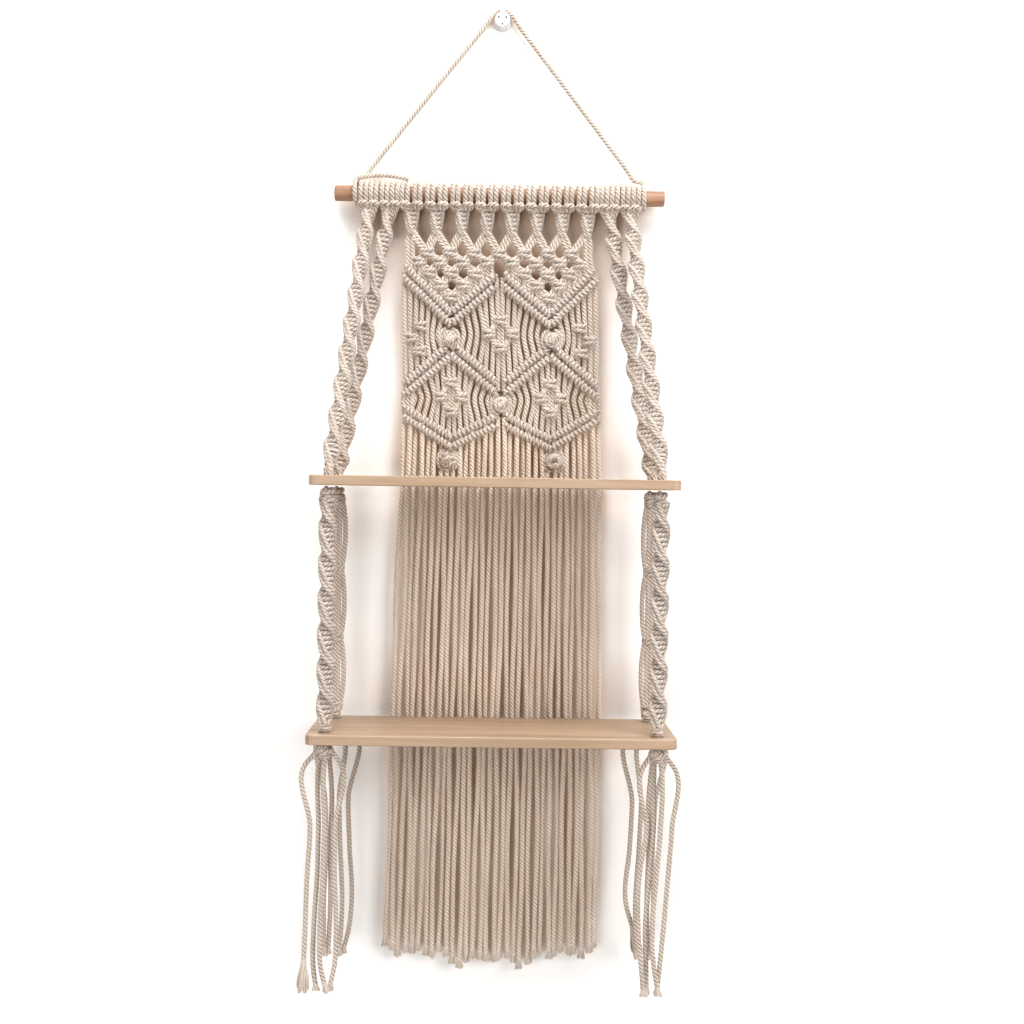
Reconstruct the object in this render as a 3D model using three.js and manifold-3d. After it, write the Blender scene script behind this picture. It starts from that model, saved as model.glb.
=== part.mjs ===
// Hanging rope shelf: two boards on knotted cotton cords below a dowel, with a knotted panel behind,
// hung by one cord from a small pinned wall hook.
// Millimetres, +Z up. The origin is on the wall, behind the centre of the hook, and the front faces -Y.
import * as THREE from "three";
import { mergeVertices } from "three/addons/utils/BufferGeometryUtils.js";
import Module from "manifold-3d";

const wasm = await Module();
wasm.setup();

// Driving dimensions
const cordDiameter = 5.5;
const clearance = 0.3;
const overrun = 2;

const hookRadius = 8.8;
const hookFlangeRadius = 10.5;
const hookFlangeThickness = 2;
const hookReach = 11;
const hookTongueWidth = 6;
const hookTongueThickness = 2.2;
const hookTongueRise = 7;
const pinDiameter = 1.7;
const pinCircleRadius = 5.2;
const pinHeadStep = 0.6;

const dowelDiameter = 18;
const dowelLength = 384;
const dowelChamfer = 1.6;
const dowelDrop = 207;
const wallGap = 0.5;

const boardWidth = 400;
const boardDepth = 130;
const boardThickness = 11;
const boardCornerRadius = 8;
const boardChamfer = 0.8;
const boardWallGap = 26;
const boardHoleDiameter = 14;
const boardHoleInsetX = 20;
const boardHoleInsetY = 18;
const upperShelfDrop = 541.5;
const shelfSpacing = 278.5;

const loopGap = 0.5;
// Each leg's last places: distance inward from its loop and distance from the dowel's axis
const legEndPlaces = [
  [9, 20],
  [3.25, 18.9],
  [0.95, 17.9],
  [0.05, 15.6],
  [0, 11.8],
];
const drumArcSteps = 3;
// The loose end's places: x, distance from the dowel's axis and angle above the front in degrees
const tailPlaces = [
  [-169, 12.3, 62],
  [-166.4, 17.6, 76],
  [-157, 19.6, 84],
  [-146, 21, 86],
  [-131, 21.4, 86],
  [-117, 19.4, 78],
  [-106, 17.8, 62],
];
const columnHeadInset = { front: 40, rear: 64.6 };
const columnHeadStep = 12;
const panelHeadStep = 14.6;
const sennitWidth = 20;
const sennitThickness = 12.5;
const sennitHalfTurn = 38;
const neckRadius = 6.4;
const sennitEndRadius = 6;
const stopperKnotRadius = 9.2;
const endKnotRadius = 8;

const panelHeads = 8;
const headPitch = 29.3;
const headerLength = 37;
const headerWidth = 19;
const headerThickness = 11;

// Drops on the panel are measured from the dowel's axis, and the net's places across in head pitches
const netKnotWidth = 18;
const netKnotHeight = 15;
const netKnotThickness = 11;
const netLinkWidth = 9;
const netLinkThickness = 5.5;
const netLinkDrop = 16;
const netReachShare = 0.72;
const netRowDrops = [67, 78, 91, 105, 119];
const netRowShares = [[0, 1, 1.95, 2.87], [0.5, 1.45, 2.37, 3.2], [0.97, 1.93, 2.77], [1.46, 2.36], [1.95]];

// Each half of the panel has three pairs of sloping ridges; a ridge runs from one [x, drop] to another
const ridgeDiameter = 11;
const cellMiddle = 58;
const ridgeOuter = 113;
const ridgeInner = 5.5;
const fieldHalfWidth = 115;
const upperRidges = [
  [[ridgeOuter - 4, 85], [cellMiddle, 137.5]],
  [[ridgeOuter - 1, 97], [cellMiddle, 150.5]],
  [[ridgeInner, 92], [cellMiddle, 137.5]],
  [[ridgeInner, 105.5], [cellMiddle, 150.5]],
];
const middleRidges = [
  [[65, 179], [ridgeOuter, 220]],
  [[cellMiddle, 187], [ridgeOuter, 233]],
  [[51, 179], [ridgeInner, 216.5]],
  [[cellMiddle, 187], [ridgeInner, 229]],
];
const lowerRidges = [
  [[ridgeOuter, 248], [cellMiddle, 282.5]],
  [[ridgeOuter, 259.5], [cellMiddle, 294]],
  [[ridgeInner, 256], [cellMiddle, 282.5]],
  [[ridgeInner, 267.2], [cellMiddle, 294]],
];

const berryWidth = 23;
const berryHeight = 21;
const berryThickness = 15;
const berries = { upper: { x: 60, drop: 167 }, lower: { x: 62, drop: 308.5 } };
const centreBerryDrop = 242.7;

// Outlines of the fields of strands between the ridges, which the ridges then cut
const centreDiamond = [
  [0, 105.5], [ridgeInner, 105.5], [cellMiddle, 150.5], [cellMiddle, 176], [51, 179], [ridgeInner, 216.5],
  [0, 216.5],
];
const sideDiamond = [
  [cellMiddle, 150.5], [ridgeOuter, 97], [2 * cellMiddle, 97], [2 * cellMiddle, 220], [ridgeOuter, 220],
  [65, 179], [cellMiddle, 176],
];
const lowerDiamond = [
  [cellMiddle, 187], [ridgeOuter, 233], [2 * cellMiddle, 233], [2 * cellMiddle, 248], [ridgeOuter, 248],
  [cellMiddle, 282.5], [ridgeInner, 256], [ridgeInner, 229],
];
const centreDiamondKnots = [[0, 145], [14, 161], [-14, 161], [0, 177]];
const sideDiamondKnots = [[93, 153], [103, 167], [95, 182]];
const lowerDiamondKnots = [[58, 218], [46, 235], [70, 235], [58, 252]];

const strandsPerHalf = 16;
const fieldStrands = 10;
const fringeHalfWidth = 123;
const fringeTopDrop = 233;
const fringeCut = [
  [-overrun, 93], [-overrun, 264.2], [cellMiddle, 294], [ridgeOuter, 259.5], [2.5 * cellMiddle, 239],
  [2.5 * cellMiddle, 93],
];
const fringeEndDrops = [897, 895, 893, 899, 905, 901, 891, 887, 893, 891, 885, 889, 887, 893, 885, 881];
const fringeSlotTopDrop = 330;
const fringeSlotWidth = 2.2;
const strandsPerSlot = 3;
const fieldTopDrop = 88;
const fieldEndDrop = 293;
const slabDepth = 30;
const strandDepth = 5.5;
const strandValley = 1.3;

const ladderKnotWidth = 22;
const ladderKnotHeight = 13;
const ladderKnotThickness = 12;
const ladderBowWidth = 11;
const ladderPinchWidth = 6;
const ladderCoreWidth = 9.4;
const ladderKnots = 4;
const bowSteps = 9;

const tasselKnotWidth = 19;
const tasselKnotHeight = 18;
const tasselEndDrop = 1094;
const tasselRootShare = 1.4;
const tasselFlareShare = 0.45;
const tasselMiddleShare = 0.9;
const tasselEnds = [[-19, -5], [-6, 6], [7, -6], [18, 5]];

// Facet counts
const cordSides = 5;
const linkSides = 4;
const hangerSides = 6;
const wrapSegments = 8;
const loopSegments = 12;
const sennitSides = 8;
const ringsPerHalfTurn = 3;
const fewestRings = 4;
const ballSides = 8;
const knotSides = 6;
const netKnotSides = 4;
const roundSides = 20;
const pinSides = 10;
const arcSegments = 2;
const facetTolerance = 0.1;

// Worked out from the sizes above
const cordRadius = cordDiameter / 2;
const dowelRadius = dowelDiameter / 2;
const wrapInner = (dowelRadius + clearance) / Math.cos(Math.PI / wrapSegments);
const wrapOuter = wrapInner + cordDiameter;
const dowelY = -(wrapOuter + wallGap);
const dowelZ = -dowelDrop;
const boardBackY = -boardWallGap;
const boardFrontY = boardBackY - boardDepth;
const rearHoleY = boardBackY - boardHoleInsetY;
const frontHoleY = boardFrontY + boardHoleInsetY;
const holeX = boardWidth / 2 - boardHoleInsetX;
const upperBoardZ = -upperShelfDrop;
const lowerBoardZ = upperBoardZ - shelfSpacing;
const panelY = dowelY;
const headerBottomDrop = wrapOuter + headerLength;
const wrapMiddleZ = dowelZ - wrapInner - cordRadius;
const netTopDrop = headerBottomDrop + clearance;
const barY = dowelY - wrapInner * Math.cos(Math.PI / 4);
const barZ = dowelZ - wrapOuter + cordRadius;
const upperBoardTop = upperBoardZ + boardThickness / 2;
const upperBoardBottom = upperBoardZ - boardThickness / 2;
const lowerBoardTop = lowerBoardZ + boardThickness / 2;
const lowerBoardBottom = lowerBoardZ - boardThickness / 2;

const stopperZ = upperBoardBottom - clearance - stopperKnotRadius;
const endKnotZ = lowerBoardTop + clearance + endKnotRadius;
const ladderTopZ = stopperZ - ladderKnotHeight / 2;
const ladderBottomZ = endKnotZ + ladderKnotHeight / 2;
const headXs = Array.from({ length: panelHeads / 2 }, (_, k) => (k + 0.5) * headPitch);
const berryY = boardBackY + clearance + berryThickness / 2;
const columnHeadX = {
  front: dowelLength / 2 - columnHeadInset.front,
  rear: dowelLength / 2 - columnHeadInset.rear,
};
const loopX = columnHeadX.front + columnHeadStep / 2 + cordDiameter + loopGap + cordRadius;
const loopRadius = (dowelRadius + clearance) / Math.cos(Math.PI / loopSegments) + cordRadius;
const [kneeInward, kneeRadius] = legEndPlaces[0];
const drumArcHalf = Math.atan2(loopX - kneeInward, dowelDrop - kneeRadius);
const drumStepHalf = drumArcHalf / (2 * drumArcSteps);
const drumCordRadius = (hookRadius + clearance + cordRadius) / Math.cos(drumStepHalf);
const drumCordY = -(hookFlangeThickness + clearance + cordRadius);

// Materials
const cotton = new THREE.MeshStandardMaterial({ color: 0xe6dcd0, roughness: 0.95, metalness: 0 });
const pine = new THREE.MeshStandardMaterial({ color: 0xd9b88f, roughness: 0.6, metalness: 0 });
const darkPine = new THREE.MeshStandardMaterial({ color: 0xb08560, roughness: 0.65, metalness: 0 });
const plastic = new THREE.MeshStandardMaterial({ color: 0xe4e4e6, roughness: 0.4, metalness: 0 });
const steel = new THREE.MeshStandardMaterial({ color: 0x55524f, roughness: 0.4, metalness: 1 });

const shelf = new THREE.Group();

function place(name, geometry, material) {
  const mesh = new THREE.Mesh(geometry, material);
  mesh.name = name;
  shelf.add(mesh);
  return mesh;
}

const point = (x, y, z) => new THREE.Vector3(x, y, z);
const onPanel = (x, drop) => point(x, panelY, dowelZ - drop);

// Solids that are joined and cut
function solid(geometry) {
  const bare = geometry.clone();
  bare.deleteAttribute("normal");
  bare.deleteAttribute("uv");
  const merged = mergeVertices(bare, 1e-4);
  const vertProperties = new Float32Array(merged.attributes.position.array);
  const triVerts = new Uint32Array(merged.index.array);
  return new wasm.Manifold(new wasm.Mesh({ numProp: 3, vertProperties, triVerts }));
}

function fromSolid(made) {
  const mesh = made.simplify(facetTolerance).getMesh();
  const geometry = new THREE.BufferGeometry();
  geometry.setAttribute("position", new THREE.BufferAttribute(new Float32Array(mesh.vertProperties), 3));
  geometry.setIndex(new THREE.BufferAttribute(new Uint32Array(mesh.triVerts), 1));
  geometry.computeVertexNormals();
  return geometry;
}

const joined = (geometries) => geometries.map(solid).reduce((a, b) => a.add(b));

// A closed body through rings of points that all have the same count
function loft(rings) {
  const sides = rings[0].length;
  const positions = [];
  const faces = [];
  for (const ring of rings) {
    for (const p of ring) positions.push(p.x, p.y, p.z);
  }
  for (let k = 0; k + 1 < rings.length; k++) {
    for (let i = 0; i < sides; i++) {
      const a = k * sides + i;
      const b = k * sides + ((i + 1) % sides);
      faces.push(a, b, b + sides);
      faces.push(a, b + sides, a + sides);
    }
  }
  const last = (rings.length - 1) * sides;
  for (let i = 1; i + 1 < sides; i++) {
    faces.push(0, i + 1, i);
    faces.push(last, last + i, last + i + 1);
  }
  const geometry = new THREE.BufferGeometry();
  geometry.setAttribute("position", new THREE.Float32BufferAttribute(positions, 3));
  geometry.setIndex(faces);
  return geometry;
}

// An oval ring across a direction of travel, turned by an angle
function ovalRing(centre, along, halfWidth, halfThickness, turn, sides) {
  const across = point(1, 0, 0).addScaledVector(along, -along.x).normalize();
  const over = along.clone().cross(across);
  const ring = [];
  for (let i = 0; i < sides; i++) {
    const angle = (i / sides) * 2 * Math.PI;
    const u = halfWidth * Math.cos(angle);
    const v = halfThickness * Math.sin(angle);
    const x = u * Math.cos(turn) - v * Math.sin(turn);
    const y = u * Math.sin(turn) + v * Math.cos(turn);
    ring.push(centre.clone().addScaledVector(across, x).addScaledVector(over, y));
  }
  return ring;
}

// A cord through points, with a ring of facets at each one
function cord(points, radius, sides) {
  const rings = [];
  let across = point(0, 1, 0);
  for (let k = 0; k < points.length; k++) {
    const before = points[Math.max(0, k - 1)];
    const after = points[Math.min(points.length - 1, k + 1)];
    const along = after.clone().sub(before).normalize();
    across = across.clone().addScaledVector(along, -across.dot(along)).normalize();
    const over = along.clone().cross(across);
    const ring = [];
    for (let i = 0; i < sides; i++) {
      const angle = (i / sides) * 2 * Math.PI;
      const side = points[k].clone().addScaledVector(across, radius * Math.cos(angle));
      ring.push(side.addScaledVector(over, radius * Math.sin(angle)));
    }
    rings.push(ring);
  }
  return loft(rings);
}

function knot(x, y, z, width, thickness, height, sides) {
  const geometry = new THREE.SphereGeometry(1, sides, sides > knotSides ? sides - 2 : sides / 2);
  geometry.rotateX(Math.PI / 2);
  geometry.scale(width / 2, thickness / 2, height / 2);
  geometry.translate(x, y, z);
  return geometry;
}

const pairs = (list) => list.map(([a, b]) => new THREE.Vector2(a, b));

// One lark's head: two wraps round the dowel and the bar across their front
function larksHead(x) {
  const profile = [];
  profile.push([wrapInner, -cordDiameter]);
  profile.push([wrapOuter, -0.6 * cordDiameter]);
  profile.push([wrapInner + 0.6 * cordDiameter, 0]);
  profile.push([wrapOuter, 0.6 * cordDiameter]);
  profile.push([wrapInner, cordDiameter]);
  profile.push(profile[0]);
  const wraps = new THREE.LatheGeometry(pairs(profile), wrapSegments);
  wraps.rotateZ(-Math.PI / 2);
  wraps.translate(x, dowelY, dowelZ);
  const ends = [-1, 1].map((side) => point(x + side * 0.9 * cordDiameter, barY, barZ));
  return [wraps, cord(ends, cordRadius, linkSides)];
}

const headPair = (x, step) => [...larksHead(x - step / 2), ...larksHead(x + step / 2)];

// A half-knot spiral, flat in section, that turns as it goes down
function sennit(top, bottom, width, thickness, halfTurn, endRadius) {
  const along = bottom.clone().sub(top);
  const length = along.length();
  along.normalize();
  const count = Math.max(fewestRings, Math.round((length / halfTurn) * ringsPerHalfTurn));
  const rings = [];
  for (let k = 0; k <= count; k++) {
    const share = k / count;
    const nearEnd = Math.max(0, 1 - ((1 - share) * length) / (halfTurn / 3));
    const halfWidth = THREE.MathUtils.lerp(width / 2, endRadius, nearEnd);
    const halfThickness = THREE.MathUtils.lerp(thickness / 2, endRadius, nearEnd);
    const turn = (-share * length * Math.PI) / halfTurn;
    const centre = top.clone().lerp(bottom, share);
    rings.push(ovalRing(centre, along, halfWidth, halfThickness, turn, sennitSides));
  }
  return loft(rings);
}

// The straight bundle of cords inside a board's hole
function neck(x, y, topZ, bottomZ) {
  const ends = [topZ, bottomZ].map((z) => point(x, y, z));
  return cord(ends, neckRadius, sennitSides);
}

// Wall hook: a flange on the wall, a drum that the cord lies on, and a tongue that keeps it there
function wallHook() {
  const profile = [
    [0, 0],
    [hookFlangeRadius, 0],
    [hookFlangeRadius, hookFlangeThickness],
    [hookRadius, hookFlangeThickness],
    [hookRadius, hookReach - pinHeadStep],
    [hookRadius - pinHeadStep, hookReach],
    [0, hookReach],
  ];
  const drum = new THREE.LatheGeometry(pairs(profile), roundSides);
  drum.rotateX(Math.PI);
  const tongueRadius = hookTongueWidth / 2;
  const tongueLength = hookTongueRise + hookRadius;
  const tongueY = hookTongueThickness / 2 - hookReach - pinHeadStep;
  const tongue = new THREE.CylinderGeometry(tongueRadius, tongueRadius, hookTongueThickness, roundSides);
  tongue.scale(1, 1, tongueLength / hookTongueWidth);
  tongue.translate(0, tongueY, tongueLength / 2);
  return solid(drum).add(solid(tongue));
}

const pinAngles = { hook_pin_left: 150, hook_pin_right: 30, hook_pin_bottom: 270 };

function pin(angle, frontY, backY, radius) {
  const made = new THREE.CylinderGeometry(radius, radius, backY - frontY, pinSides);
  const turn = THREE.MathUtils.degToRad(angle);
  const x = pinCircleRadius * Math.cos(turn);
  made.translate(x, (frontY + backY) / 2, pinCircleRadius * Math.sin(turn));
  return made;
}

function dowel() {
  const half = dowelLength / 2;
  const profile = [
    [0, -half],
    [dowelRadius - dowelChamfer, -half],
    [dowelRadius, -half + dowelChamfer],
    [dowelRadius, half - dowelChamfer],
    [dowelRadius - dowelChamfer, half],
    [0, half],
  ];
  const made = new THREE.LatheGeometry(pairs(profile), roundSides);
  made.rotateZ(-Math.PI / 2);
  made.translate(0, dowelY, dowelZ);
  return made;
}

// Hanger cord: a loop round each end of the dowel, a leg up to the hook and an arc over its drum.
// The left loop's loose end lies over the lark's heads.
function hangerCord() {
  const half = [];
  for (let k = 0; k <= drumArcSteps; k++) {
    const angle = Math.PI / 2 - (drumArcHalf * k) / drumArcSteps;
    half.push(point(drumCordRadius * Math.cos(angle), drumCordY, drumCordRadius * Math.sin(angle)));
  }
  for (const [inward, radius] of legEndPlaces) half.push(point(loopX - inward, dowelY, dowelZ + radius));
  const leftHalf = half.slice(1).reverse().map((p) => point(-p.x, p.y, p.z));
  const legs = cord([...leftHalf, ...half], cordRadius, hangerSides);
  const loops = [-loopX, loopX].map((x) => {
    const loop = new THREE.TorusGeometry(loopRadius, cordRadius, cordSides, loopSegments);
    loop.rotateY(Math.PI / 2);
    loop.translate(x, dowelY, dowelZ);
    return loop;
  });
  const tail = tailPlaces.map(([x, radius, angle]) => {
    const turn = THREE.MathUtils.degToRad(angle);
    return point(x, dowelY - radius * Math.cos(turn), dowelZ + radius * Math.sin(turn));
  });
  return joined([legs, ...loops, cord(tail, cordRadius, cordSides)]);
}

function board(z) {
  const shape = new THREE.Shape();
  const w = boardWidth / 2;
  const r = boardCornerRadius;
  shape.moveTo(-w + r, boardFrontY);
  shape.absarc(w - r, boardFrontY + r, r, -Math.PI / 2, 0, false);
  shape.absarc(w - r, boardBackY - r, r, 0, Math.PI / 2, false);
  shape.absarc(-w + r, boardBackY - r, r, Math.PI / 2, Math.PI, false);
  shape.absarc(-w + r, boardFrontY + r, r, Math.PI, 1.5 * Math.PI, false);
  for (const x of [-holeX, holeX]) {
    for (const y of [frontHoleY, rearHoleY]) {
      const hole = new THREE.Path();
      hole.absarc(x, y, boardHoleDiameter / 2, 0, Math.PI, false);
      hole.absarc(x, y, boardHoleDiameter / 2, Math.PI, 2 * Math.PI, false);
      shape.holes.push(hole);
    }
  }
  const made = new THREE.ExtrudeGeometry(shape, {
    depth: boardThickness - 2 * boardChamfer,
    bevelThickness: boardChamfer,
    bevelSize: boardChamfer,
    bevelOffset: -boardChamfer,
    bevelSegments: 1,
    curveSegments: arcSegments,
  });
  made.translate(0, 0, z - boardThickness / 2 + boardChamfer);
  return made;
}

// Upper column: lark's heads on the dowel, a spiral down to the upper board and its neck in the hole
function upperColumn(side, row) {
  const x = side * columnHeadX[row];
  const holeY = row === "front" ? frontHoleY : rearHoleY;
  const top = point(x, dowelY, wrapMiddleZ);
  const bottom = point(side * holeX, holeY, upperBoardTop + sennitEndRadius);
  const spiral = sennit(top, bottom, sennitWidth, sennitThickness, sennitHalfTurn, sennitEndRadius);
  const end = neck(side * holeX, holeY, bottom.z + sennitEndRadius / 2, upperBoardBottom);
  return joined([...headPair(x, columnHeadStep), spiral, end]);
}

// Front lower column: a stopper knot under the upper board, a spiral and an end knot on the lower board
function spiralLowerColumn(x) {
  const top = point(x, frontHoleY, stopperZ);
  const bottom = point(x, frontHoleY, endKnotZ);
  const spiral = sennit(top, bottom, sennitWidth, sennitThickness, sennitHalfTurn, sennitEndRadius);
  return joined([stopperKnot(x, frontHoleY), spiral, endKnot(x, frontHoleY)]);
}

const sphereKnot = (x, y, z, r) => knot(x, y, z, 2 * r, 2 * r, 2 * r, ballSides);
const stopperKnot = (x, y) => sphereKnot(x, y, stopperZ, stopperKnotRadius);
const endKnot = (x, y) => sphereKnot(x, y, endKnotZ, endKnotRadius);

// Rear lower column: square knots on two straight cords, with two cords that bow out between the knots
function bowedLowerColumn(x) {
  const y = rearHoleY;
  const pieces = [stopperKnot(x, y), endKnot(x, y)];
  for (const side of [-1, 1]) {
    const at = x + (side * ladderCoreWidth) / 4;
    pieces.push(cord([point(at, y, stopperZ), point(at, y, endKnotZ)], cordRadius, cordSides));
    const bow = [];
    for (let k = 0; k <= bowSteps; k++) {
      const share = k / bowSteps;
      const swell = Math.abs(Math.sin(share * Math.PI * (ladderKnots - 1)));
      const reach = THREE.MathUtils.lerp(ladderPinchWidth / 2, ladderBowWidth, swell);
      bow.push(point(x + side * reach, y, THREE.MathUtils.lerp(ladderTopZ, ladderBottomZ, share)));
    }
    pieces.push(cord(bow, cordRadius, cordSides));
  }
  for (let k = 0; k < ladderKnots; k++) {
    const z = THREE.MathUtils.lerp(ladderTopZ, ladderBottomZ, k / (ladderKnots - 1));
    pieces.push(knot(x, y, z, ladderKnotWidth, ladderKnotThickness, ladderKnotHeight, knotSides));
  }
  return joined(pieces);
}

// Tassel: the neck in the lower board's hole, the knot under the board and four loose strands
function tassel(x, y) {
  const knotZ = lowerBoardBottom - clearance - tasselKnotHeight / 2;
  const pieces = [
    neck(x, y, lowerBoardTop, knotZ),
    knot(x, y, knotZ, tasselKnotWidth, tasselKnotWidth, tasselKnotHeight, ballSides),
  ];
  tasselEnds.forEach(([endX, endY], k) => {
    const startX = x + (k - 1.5) * cordRadius * tasselRootShare;
    const middleZ = (knotZ - tasselEndDrop) / 2;
    const points = [
      point(startX, y, knotZ),
      point(startX + endX * tasselFlareShare, y + endY * tasselFlareShare, knotZ - tasselKnotHeight),
      point(x + endX * tasselMiddleShare, y + endY, middleZ),
      point(x + endX, y + endY, -tasselEndDrop),
    ];
    pieces.push(cord(points, cordRadius, cordSides));
  });
  return joined(pieces);
}

// Panel header: lark's heads and a short spiral
function header(x) {
  const top = point(x, dowelY, wrapMiddleZ);
  const bottom = onPanel(x, headerBottomDrop);
  const spiral = sennit(top, bottom, headerWidth, headerThickness, sennitHalfTurn, headerThickness / 2);
  return joined([...headPair(x, panelHeadStep), spiral]);
}

// A flat pair of cords from one place on the panel to another
function link(x1, drop1, x2, drop2) {
  const along = point(x2 - x1, 0, drop1 - drop2).normalize();
  const ends = [onPanel(x1, drop1), onPanel(x2, drop2)];
  return loft(ends.map((p) => ovalRing(p, along, netLinkWidth / 2, netLinkThickness / 2, 0, linkSides)));
}

const mirrorPlaces = (places) => [...places.filter((x) => x > 0).map((x) => -x).reverse(), ...places];
const mirrored = (list) => list.map(([x, drop]) => [-x, drop]);
const sided = (list, side) => (side > 0 ? list : mirrored(list));

const netPlaces = (shares) => mirrorPlaces((shares ?? []).map((share) => share * headPitch));

const netKnot = (x, drop) => {
  const { y, z } = onPanel(x, drop);
  return knot(x, y, z, netKnotWidth, netKnotThickness, netKnotHeight, netKnotSides);
};

const neighbours = (row, x) => row.filter((other) => Math.abs(other - x) < headPitch * netReachShare);

// The net: rows of square knots, each joined by links to its neighbours in the row above
function net() {
  const pieces = [];
  let above = mirrorPlaces(headXs);
  let aboveDrop = headerBottomDrop;
  netRowDrops.forEach((drop, k) => {
    const row = netPlaces(netRowShares[k]);
    const below = netPlaces(netRowShares[k + 1]);
    for (const x of row) {
      pieces.push(netKnot(x, drop));
      if (neighbours(below, x).length < 2) pieces.push(link(x, drop, x, drop + netLinkDrop));
      for (const other of neighbours(above, x)) pieces.push(link(other, aboveDrop, x, drop));
    }
    above = row;
    aboveDrop = drop;
  });
  const right = headXs.at(-1) + headPitch;
  const headers = [[-right, 0], [-right, netTopDrop], [right, netTopDrop], [right, 0]];
  return joined(pieces).subtract(slab(headers));
}

// Sloping ridges, made of one straight bar along each line; extra widens them for cutting
function ridges(lines, side, extra) {
  const bars = lines.map((line) => {
    const ends = sided(line, side).map(([x, drop]) => onPanel(x, drop));
    return cord(ends, ridgeDiameter / 2 + extra, sennitSides);
  });
  return joined(bars);
}

function berry([x, drop], extra) {
  const width = berryWidth + 2 * extra;
  const thickness = berryThickness + 2 * extra;
  return knot(x, berryY, dowelZ - drop, width, thickness, berryHeight + 2 * extra, ballSides);
}

const berryPlaces = {
  berry_upper_left: [-berries.upper.x, berries.upper.drop],
  berry_upper_right: [berries.upper.x, berries.upper.drop],
  berry_centre: [0, centreBerryDrop],
  berry_lower_left: [-berries.lower.x, berries.lower.drop],
  berry_lower_right: [berries.lower.x, berries.lower.drop],
};

// The outline of strands side by side between two x places: ribbed in front and flat behind
function strandOutline(fromX, toX, count) {
  const pitch = (toX - fromX) / count;
  const outline = [];
  for (let k = 0; k < count; k++) {
    outline.push([fromX + k * pitch, -strandValley]);
    outline.push([fromX + (k + 0.5) * pitch, -strandDepth / 2]);
  }
  outline.push([toX, -strandValley]);
  outline.push([toX, strandDepth / 2]);
  outline.push([fromX, strandDepth / 2]);
  return outline;
}

// A slab through the panel with the outline of a list of [x, drop] corners
function slab(corners) {
  const shape = new THREE.Shape(corners.map(([x, drop]) => new THREE.Vector2(x, dowelZ - drop)));
  const made = new THREE.ExtrudeGeometry(shape, { depth: slabDepth, bevelEnabled: false });
  made.rotateX(Math.PI / 2);
  made.translate(0, panelY + slabDepth / 2, 0);
  return solid(made);
}

// Upright strands that touch, from a level top to an end of each strand's own
function strands(fromX, toX, count, topDrop, endDrops, endSpread) {
  const outline = strandOutline(fromX, toX, count);
  const positions = [];
  const faces = [];
  for (const [x, t] of outline) positions.push(x, panelY + t, dowelZ - topDrop);
  outline.forEach(([x, t], i) => {
    const strand = i > 2 * count + 1 ? 0 : Math.min(count - 1, Math.floor(i / 2));
    positions.push(x * endSpread, panelY + t, dowelZ - endDrops[strand % endDrops.length]);
  });
  const flat = outline.map(([x, t]) => new THREE.Vector2(x, t));
  const caps = THREE.ShapeUtils.triangulateShape(flat, []);
  const n = outline.length;
  for (const [a, b, c] of caps) {
    faces.push(a, b, c);
    faces.push(n + a, n + c, n + b);
  }
  for (let i = 0; i < n; i++) {
    const j = (i + 1) % n;
    faces.push(i, n + i, n + j);
    faces.push(i, n + j, j);
  }
  const geometry = new THREE.BufferGeometry();
  geometry.setAttribute("position", new THREE.Float32BufferAttribute(positions, 3));
  geometry.setIndex(faces);
  return solid(geometry);
}

const cutters = { upper: upperRidges, middle: middleRidges, lower: lowerRidges };

function cutAway(made, names, side) {
  let left = made;
  for (const name of names) left = left.subtract(ridges(cutters[name], side, clearance));
  return left;
}

function cutBerries(made) {
  let left = made;
  for (const at of Object.values(berryPlaces)) left = left.subtract(solid(berry(at, clearance)));
  return left;
}

// A field of strands with square knots on it, inside the outline left between the ridges
function field(outlines, fromX, toX, count, knots, cuts) {
  let made = strands(fromX, toX, count, fieldTopDrop, [fieldEndDrop], 1);
  made = made.intersect(outlines.map(slab).reduce((a, b) => a.add(b)));
  for (const [x, drop] of knots) made = made.add(solid(netKnot(x, drop)));
  for (const [names, side] of cuts) made = cutAway(made, names, side);
  return largest(cutBerries(made));
}

// The biggest piece that a cut leaves
function largest(made) {
  return made.decompose().reduce((a, b) => (a.volume() > b.volume() ? a : b));
}

// The object, part by part
let hook = wallHook();
for (const angle of Object.values(pinAngles)) {
  hook = hook.subtract(solid(pin(angle, -hookReach - overrun, overrun, pinDiameter / 2 + clearance)));
}
place("wall_hook", fromSolid(hook), plastic);
for (const [name, angle] of Object.entries(pinAngles)) {
  place(name, pin(angle, -hookReach - pinHeadStep, -clearance, pinDiameter / 2), steel);
}
place("hanger_cord", fromSolid(hangerCord()), cotton);
place("dowel", dowel(), darkPine);
place("upper_board", board(upperBoardZ), pine);
place("lower_board", board(lowerBoardZ), pine);

const sides = { left: -1, right: 1 };
for (const [label, side] of Object.entries(sides)) {
  place(`upper_column_front_${label}`, fromSolid(upperColumn(side, "front")), cotton);
  place(`upper_column_rear_${label}`, fromSolid(upperColumn(side, "rear")), cotton);
  place(`lower_column_front_${label}`, fromSolid(spiralLowerColumn(side * holeX)), cotton);
  place(`lower_column_rear_${label}`, fromSolid(bowedLowerColumn(side * holeX)), cotton);
  place(`tassel_front_${label}`, fromSolid(tassel(side * holeX, frontHoleY)), cotton);
  place(`tassel_rear_${label}`, fromSolid(tassel(side * holeX, rearHoleY)), cotton);
}

mirrorPlaces(headXs).forEach((x, k) => {
  place(`panel_header_${k + 1}`, fromSolid(header(x)), cotton);
});
place("panel_net", fromSolid(cutAway(cutAway(net(), ["upper"], 1), ["upper"], -1)), cotton);

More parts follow.
